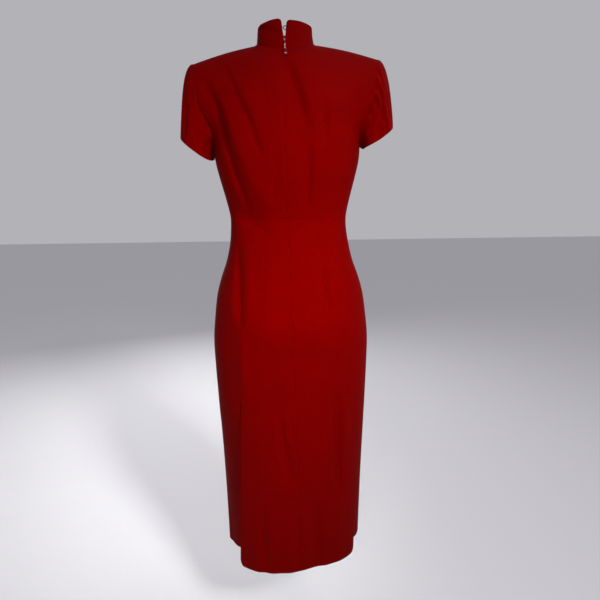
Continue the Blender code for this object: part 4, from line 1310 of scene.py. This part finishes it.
pull = {
    "length": 0.043,
    "widest": 0.0052,
    "neck": 0.0020,
    "thick": 0.0012,
    "sides": 40,
    "sway": 0.05,
    "rest": 0.0005,           # between the tab's end and the cloth
    "backLevels": (1.2, 2, 400),    # of the back, where the tab's end may rest
    "rows": (0.016, 0.9, 60),       # even rows: from, to, and how many
    "endRows": (16, 1.6),     # closer rows over the rest: how many, and how fast they close up
    "swells": (0.25, 0.80),   # from the neck's width to the widest, in shares of the length
    "rounds": 0.86,           # from here to the end it rounds off
    "section": (0.92, 0.80),  # exponents across and through, 1 is an ellipse
    "edgeThick": 0.62,        # thickness at the very end, as a share
    "blunt": 0.012,
    "recess": 0.00022,        # a shallow hollow on both faces
    "recessAt": (0.82, 0.085),
    "recessHalf": 0.27,       # of the widest width
    "barrel": (0.0020, 0.00078),    # width and radius of the loop round the pin
    "barrelRims": ((-0.5, 0.82), (-0.47, 0.94), (-0.4, 1.0), (0.4, 1.0), (0.47, 0.94), (0.5, 0.82)),
}


def sliderSeat():
    low, high = yoke["neckBackZ"], collar["topBackZ"][1]
    share = (slider["z"] - low) / (high - low)
    y = collarPoints(np.array(1.0), np.array(share), 1)[1] + slider["seatGap"]
    return np.array((0, y, slider["z"]))


def buildSlider():
    seat = sliderSeat()
    wide, thick, high = slider["plate"]
    endWide, endThick = slider["plateEnds"]
    power, root = slider["endCurve"]
    sides = slider["sides"]
    turned = 2 * math.pi * np.arange(sides) / sides
    roundX = signedPower(np.cos(turned), slider["plateRound"])
    roundY = signedPower(np.sin(turned), slider["plateRound"])
    rings = []
    for up in np.linspace(-1, 1, slider["plateRows"]):
        # wider at the top, where the two rows of teeth part, and rounded at both ends
        end = (1 - abs(up) ** power) ** root if abs(up) < 1 else 0.0
        half = wide / 2 * mix(slider["plateLow"], 1.0, ease((up + 1) / 2)) * mix(endWide, 1.0, end)
        deep = thick / 2 * mix(endThick, 1.0, end)
        rings.append(joined(half * roundX, deep * roundY + thick / 2, up * high / 2) + seat)
    body = loft("zipSliderPlate", rings, "lacquered zinc")
    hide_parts("zip_slider")
    lugThick, lugReach, lugHigh = slider["lug"]
    foot = thick * slider["lugFoot"]
    roundOut, roundUp = slider["lugRound"]
    for side, name in ((1, "zipSliderLugLeft"), (-1, "zipSliderLugRight")):
        rings = []
        for across, size in slider["lugRims"]:
            x = side * (slider["slot"] / 2 + across * lugThick)
            y = foot + (lugReach - foot) * size * np.maximum(0, np.sin(turned)) ** roundOut
            z = lugHigh / 2 * size * signedPower(np.cos(turned), roundUp)
            rings.append(joined(x, y, z) + seat)
        loft(name, rings, "lacquered zinc", flip=side < 0)
    pivot = pullPivot()
    reach = slider["slot"] / 2 + lugThick * slider["pinReach"]
    path = [pivot + np.array((x, 0, 0)) for x in np.linspace(-reach, reach, 6)]
    sweep("zipSliderPin", path, (0, 0, 1), slider["pin"], slider["pinSides"], "lacquered zinc")


def pullPivot():
    out = slider["plate"][1] + slider["pullClear"] + pull["thick"] / 2
    return sliderSeat() + np.array((0, out, 0))


def pullTurn(pivot):
    # leaning out until the end rests on the back
    back = bodicePoints(np.array(1.0), np.linspace(*pull["backLevels"]), 1, "back")
    backY = np.interp(pivot[2] - pull["length"], back[:, 2], back[:, 1])
    lean = math.atan2(backY + pull["thick"] / 2 + pull["rest"] - pivot[1], pull["length"])
    return Matrix.Rotation(pull["sway"], 3, "Y") @ Matrix.Rotation(lean, 3, "X")


def buildPull():
    pivot = pullPivot()
    turn = np.array(pullTurn(pivot))
    turned = 2 * math.pi * np.arange(pull["sides"]) / pull["sides"]
    low, high = pull["swells"]
    roundX, roundY = pull["section"]
    recessAt, recessLong = pull["recessAt"]
    evenEnd = pull["rows"][1]
    endRows, closing = pull["endRows"]
    close = 1 - (1 - evenEnd) * np.linspace(1, 0, endRows)[1:] ** closing
    rows = np.concatenate([np.linspace(*pull["rows"]), close])
    rings = []
    for along in rows:
        end = max(0.0, (along - pull["rounds"]) / (1 - pull["rounds"]))
        half = mix(pull["neck"], pull["widest"], ease((along - low) / (high - low))) / 2
        half *= math.sqrt(max(pull["blunt"], 1 - end * end))
        x = half * signedPower(np.cos(turned), roundX)
        edge = mix(pull["edgeThick"], 1.0, math.sqrt(max(0.0, 1 - end ** 4)))
        y = pull["thick"] / 2 * edge * signedPower(np.sin(turned), roundY)
        hollow = math.exp(-((along - recessAt) / recessLong) ** 4)
        hollow = hollow * np.exp(-(x / (pull["widest"] * pull["recessHalf"])) ** 4)
        y = y - np.where(y > 0, 1, -1) * pull["recess"] * hollow
        rings.append(joined(x, y, -along * pull["length"]) @ turn.T + pivot)
    tab = loft("zipPullTab", rings, "lacquered zinc", body="pull_tab", flip=True)
    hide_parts("zip_pull")
    wide, radius = pull["barrel"]
    rings = []
    for x, size in pull["barrelRims"]:
        ring = joined(x * wide, radius * size * np.cos(turned), radius * size * np.sin(turned))
        rings.append(ring @ turn.T + pivot)
    loft("zipPullBarrel", rings, "lacquered zinc", body="pull_tab")


buildSlider()
buildPull()
print("slider and pull tab built")


# hook and eye at the collar's opening

hook = {
    "z": 0.0270,
    "width": 0.0074,
    "foot": 0.0040,           # from the collar's edge to the sewn feet
    "footShare": 0.06,        # where the cloth's direction is taken, as a share of the half length
    "reach": (-0.0012, 0.0046),     # past the collar's edge, the hook's and the eye's
    "wire": 0.0017,
    "wireSides": 12,
    "inward": 0.0028,         # from the cloth's face to the wire's middle
    "footLoop": 0.00125,
    "loopAt": 0.0014,
    "loopTurn": 1.75,         # half turns of the wire in a foot's loop
    "stitches": 7,
    "firstStitch": 0.3,
    "thread": 0.00016,
    "threadSides": 6,
    "threadBow": (1.7, 1.5),  # over the wire, in its radii: along the foot and out of it
}


def buildHookOrEye(hand, name, node):
    low, high = yoke["neckBackZ"], bySide(collar["topBackZ"], hand)
    share = np.array((hook["z"] - low) / (high - low))
    edge = collarPoints(np.array(1.0), share, hand)
    beside = collarPoints(np.array(1 - hook["footShare"]), share, hand)
    way = unit(beside - edge)
    out = -unit(np.array((way[0], way[1], 0.0)))     # towards the opening
    inside = np.array((-out[1], out[0], 0.0)) * hand
    start = edge + way * hook["foot"] + inside * hook["inward"]
    up = np.array((0, 0, 1.0))
    half, radius, loop = hook["width"] / 2, hook["wire"] / 2, hook["footLoop"]

    def footPath(side):
        # each foot ends in a small loop that the thread goes round
        return [start + out * (hook["loopAt"] - loop * math.sin(turned))
                + up * side * (half - loop * (1 - math.cos(turned)))
                for turned in np.linspace(0, hook["loopTurn"] * math.pi, 16)]

    reach = hook["foot"] + bySide(hook["reach"], hand) - half
    bow = [start + out * (reach + math.sin(turned) * half) - up * math.cos(turned) * half
           for turned in np.linspace(0, math.pi, 21)]
    path = footPath(-1)[::-1] + bow + footPath(1)
    piece = sweep(name, path, np.cross(out, up), radius, hook["wireSides"], "blackened steel wire")
    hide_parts(node)
    overWire, offWire = hook["threadBow"]
    for side, place in ((-1, "Low"), (1, "High")):
        middle = start + out * hook["loopAt"] + up * side * (half - loop)
        for number in range(hook["stitches"]):
            turned = 2 * math.pi * (number + hook["firstStitch"]) / hook["stitches"]
            outwards = out * math.cos(turned) + up * math.sin(turned)
            stitch = [middle + outwards * (loop + math.cos(bend) * radius * overWire)
                      + inside * math.sin(bend) * radius * offWire
                      for bend in np.linspace(0, math.pi, 7)]
            sweep(f"{name}Stitch{place}{number}", stitch, np.cross(outwards, inside), hook["thread"],
                  hook["threadSides"], "red sewing thread")


buildHookOrEye(1, "collarHook", "collar_hook")
buildHookOrEye(-1, "collarEye", "collar_eye")
print("hook and eye built")


# floor, light and camera

stage = {
    "floorZ": -1.52,
    "floorHalf": 14.0,
    "camera": (-0.025, 1.09, -0.3405),
    "pitch": 12.0,
    "roll": 0.8,
    "focalPixels": 451.0,
    "imagePixels": 600.0,
    "sensor": 36.0,
    "clipStart": 0.02,
    "world": "B3B2B7",        # pale walls all round
    "worldStrength": 1.0,
}

# place, size, watts, spread in degrees, and the point aimed at
lamps = {
    "besideCamera": ((0.07, 1.10, -0.55), 0.40, 7.9, 180, (0.0, 0.0, -0.62)),
    "hipBeam": ((-1.15, 1.71, 0.83), 0.50, 4.4, 36, (0.05, 0.10, -0.58)),
    "highSide": ((-1.54, 0.0, 1.29), 0.80, 12.5, 180, (0.0, 0.0, -0.55)),
    "frontSoft": ((0.9, -2.3, 0.4), 1.20, 35.0, 180, (0.0, 0.0, -0.60)),
}


def buildStage():
    half, z = stage["floorHalf"], stage["floorZ"]
    floor = bpy.data.meshes.new("floor")
    floor.from_pydata([(-half, -half, z), (half, -half, z), (half, half, z), (-half, half, z)], [],
                      [(0, 1, 2, 3)])
    piece = addObject("floor", floor)
    floor.materials.append(materials["painted floor"])
    world = bpy.data.worlds.new("studio")
    bpy.context.scene.world = world
    world.use_nodes = True
    background = world.node_tree.nodes["Background"]
    background.inputs["Color"].default_value = fromHex(stage["world"])
    background.inputs["Strength"].default_value = stage["worldStrength"]
    bpy.context.scene.view_settings.view_transform = "Standard"
    for name, (place, size, watts, spread, aim) in lamps.items():
        lamp = bpy.data.lights.new(name, "AREA")
        lamp.shape = "DISK"
        lamp.size = size
        lamp.energy = watts
        lamp.spread = math.radians(spread)
        holder = addObject(name, lamp)
        holder.location = place
        holder.rotation_euler = (Vector(aim) - Vector(place)).to_track_quat("-Z", "Y").to_euler()


def buildCamera():
    pitch, roll = math.radians(stage["pitch"]), math.radians(stage["roll"])
    right = Vector((-1, 0, 0))
    ahead = Vector((0, -math.cos(pitch), -math.sin(pitch)))
    down = Vector((0, math.sin(pitch), -math.cos(pitch)))
    rolledRight = right * math.cos(roll) + down * math.sin(roll)
    rolledDown = down * math.cos(roll) - right * math.sin(roll)
    lens = bpy.data.cameras.new("camera")
    lens.sensor_width = stage["sensor"]
    lens.lens = stage["focalPixels"] / stage["imagePixels"] * stage["sensor"]
    lens.clip_start = stage["clipStart"]
    camera = addObject("camera", lens)
    axes = Matrix((rolledRight, -rolledDown, -ahead)).transposed().to_4x4()
    camera.matrix_world = Matrix.Translation(stage["camera"]) @ axes
    bpy.context.scene.camera = camera


buildStage()
buildCamera()
print("stage built")
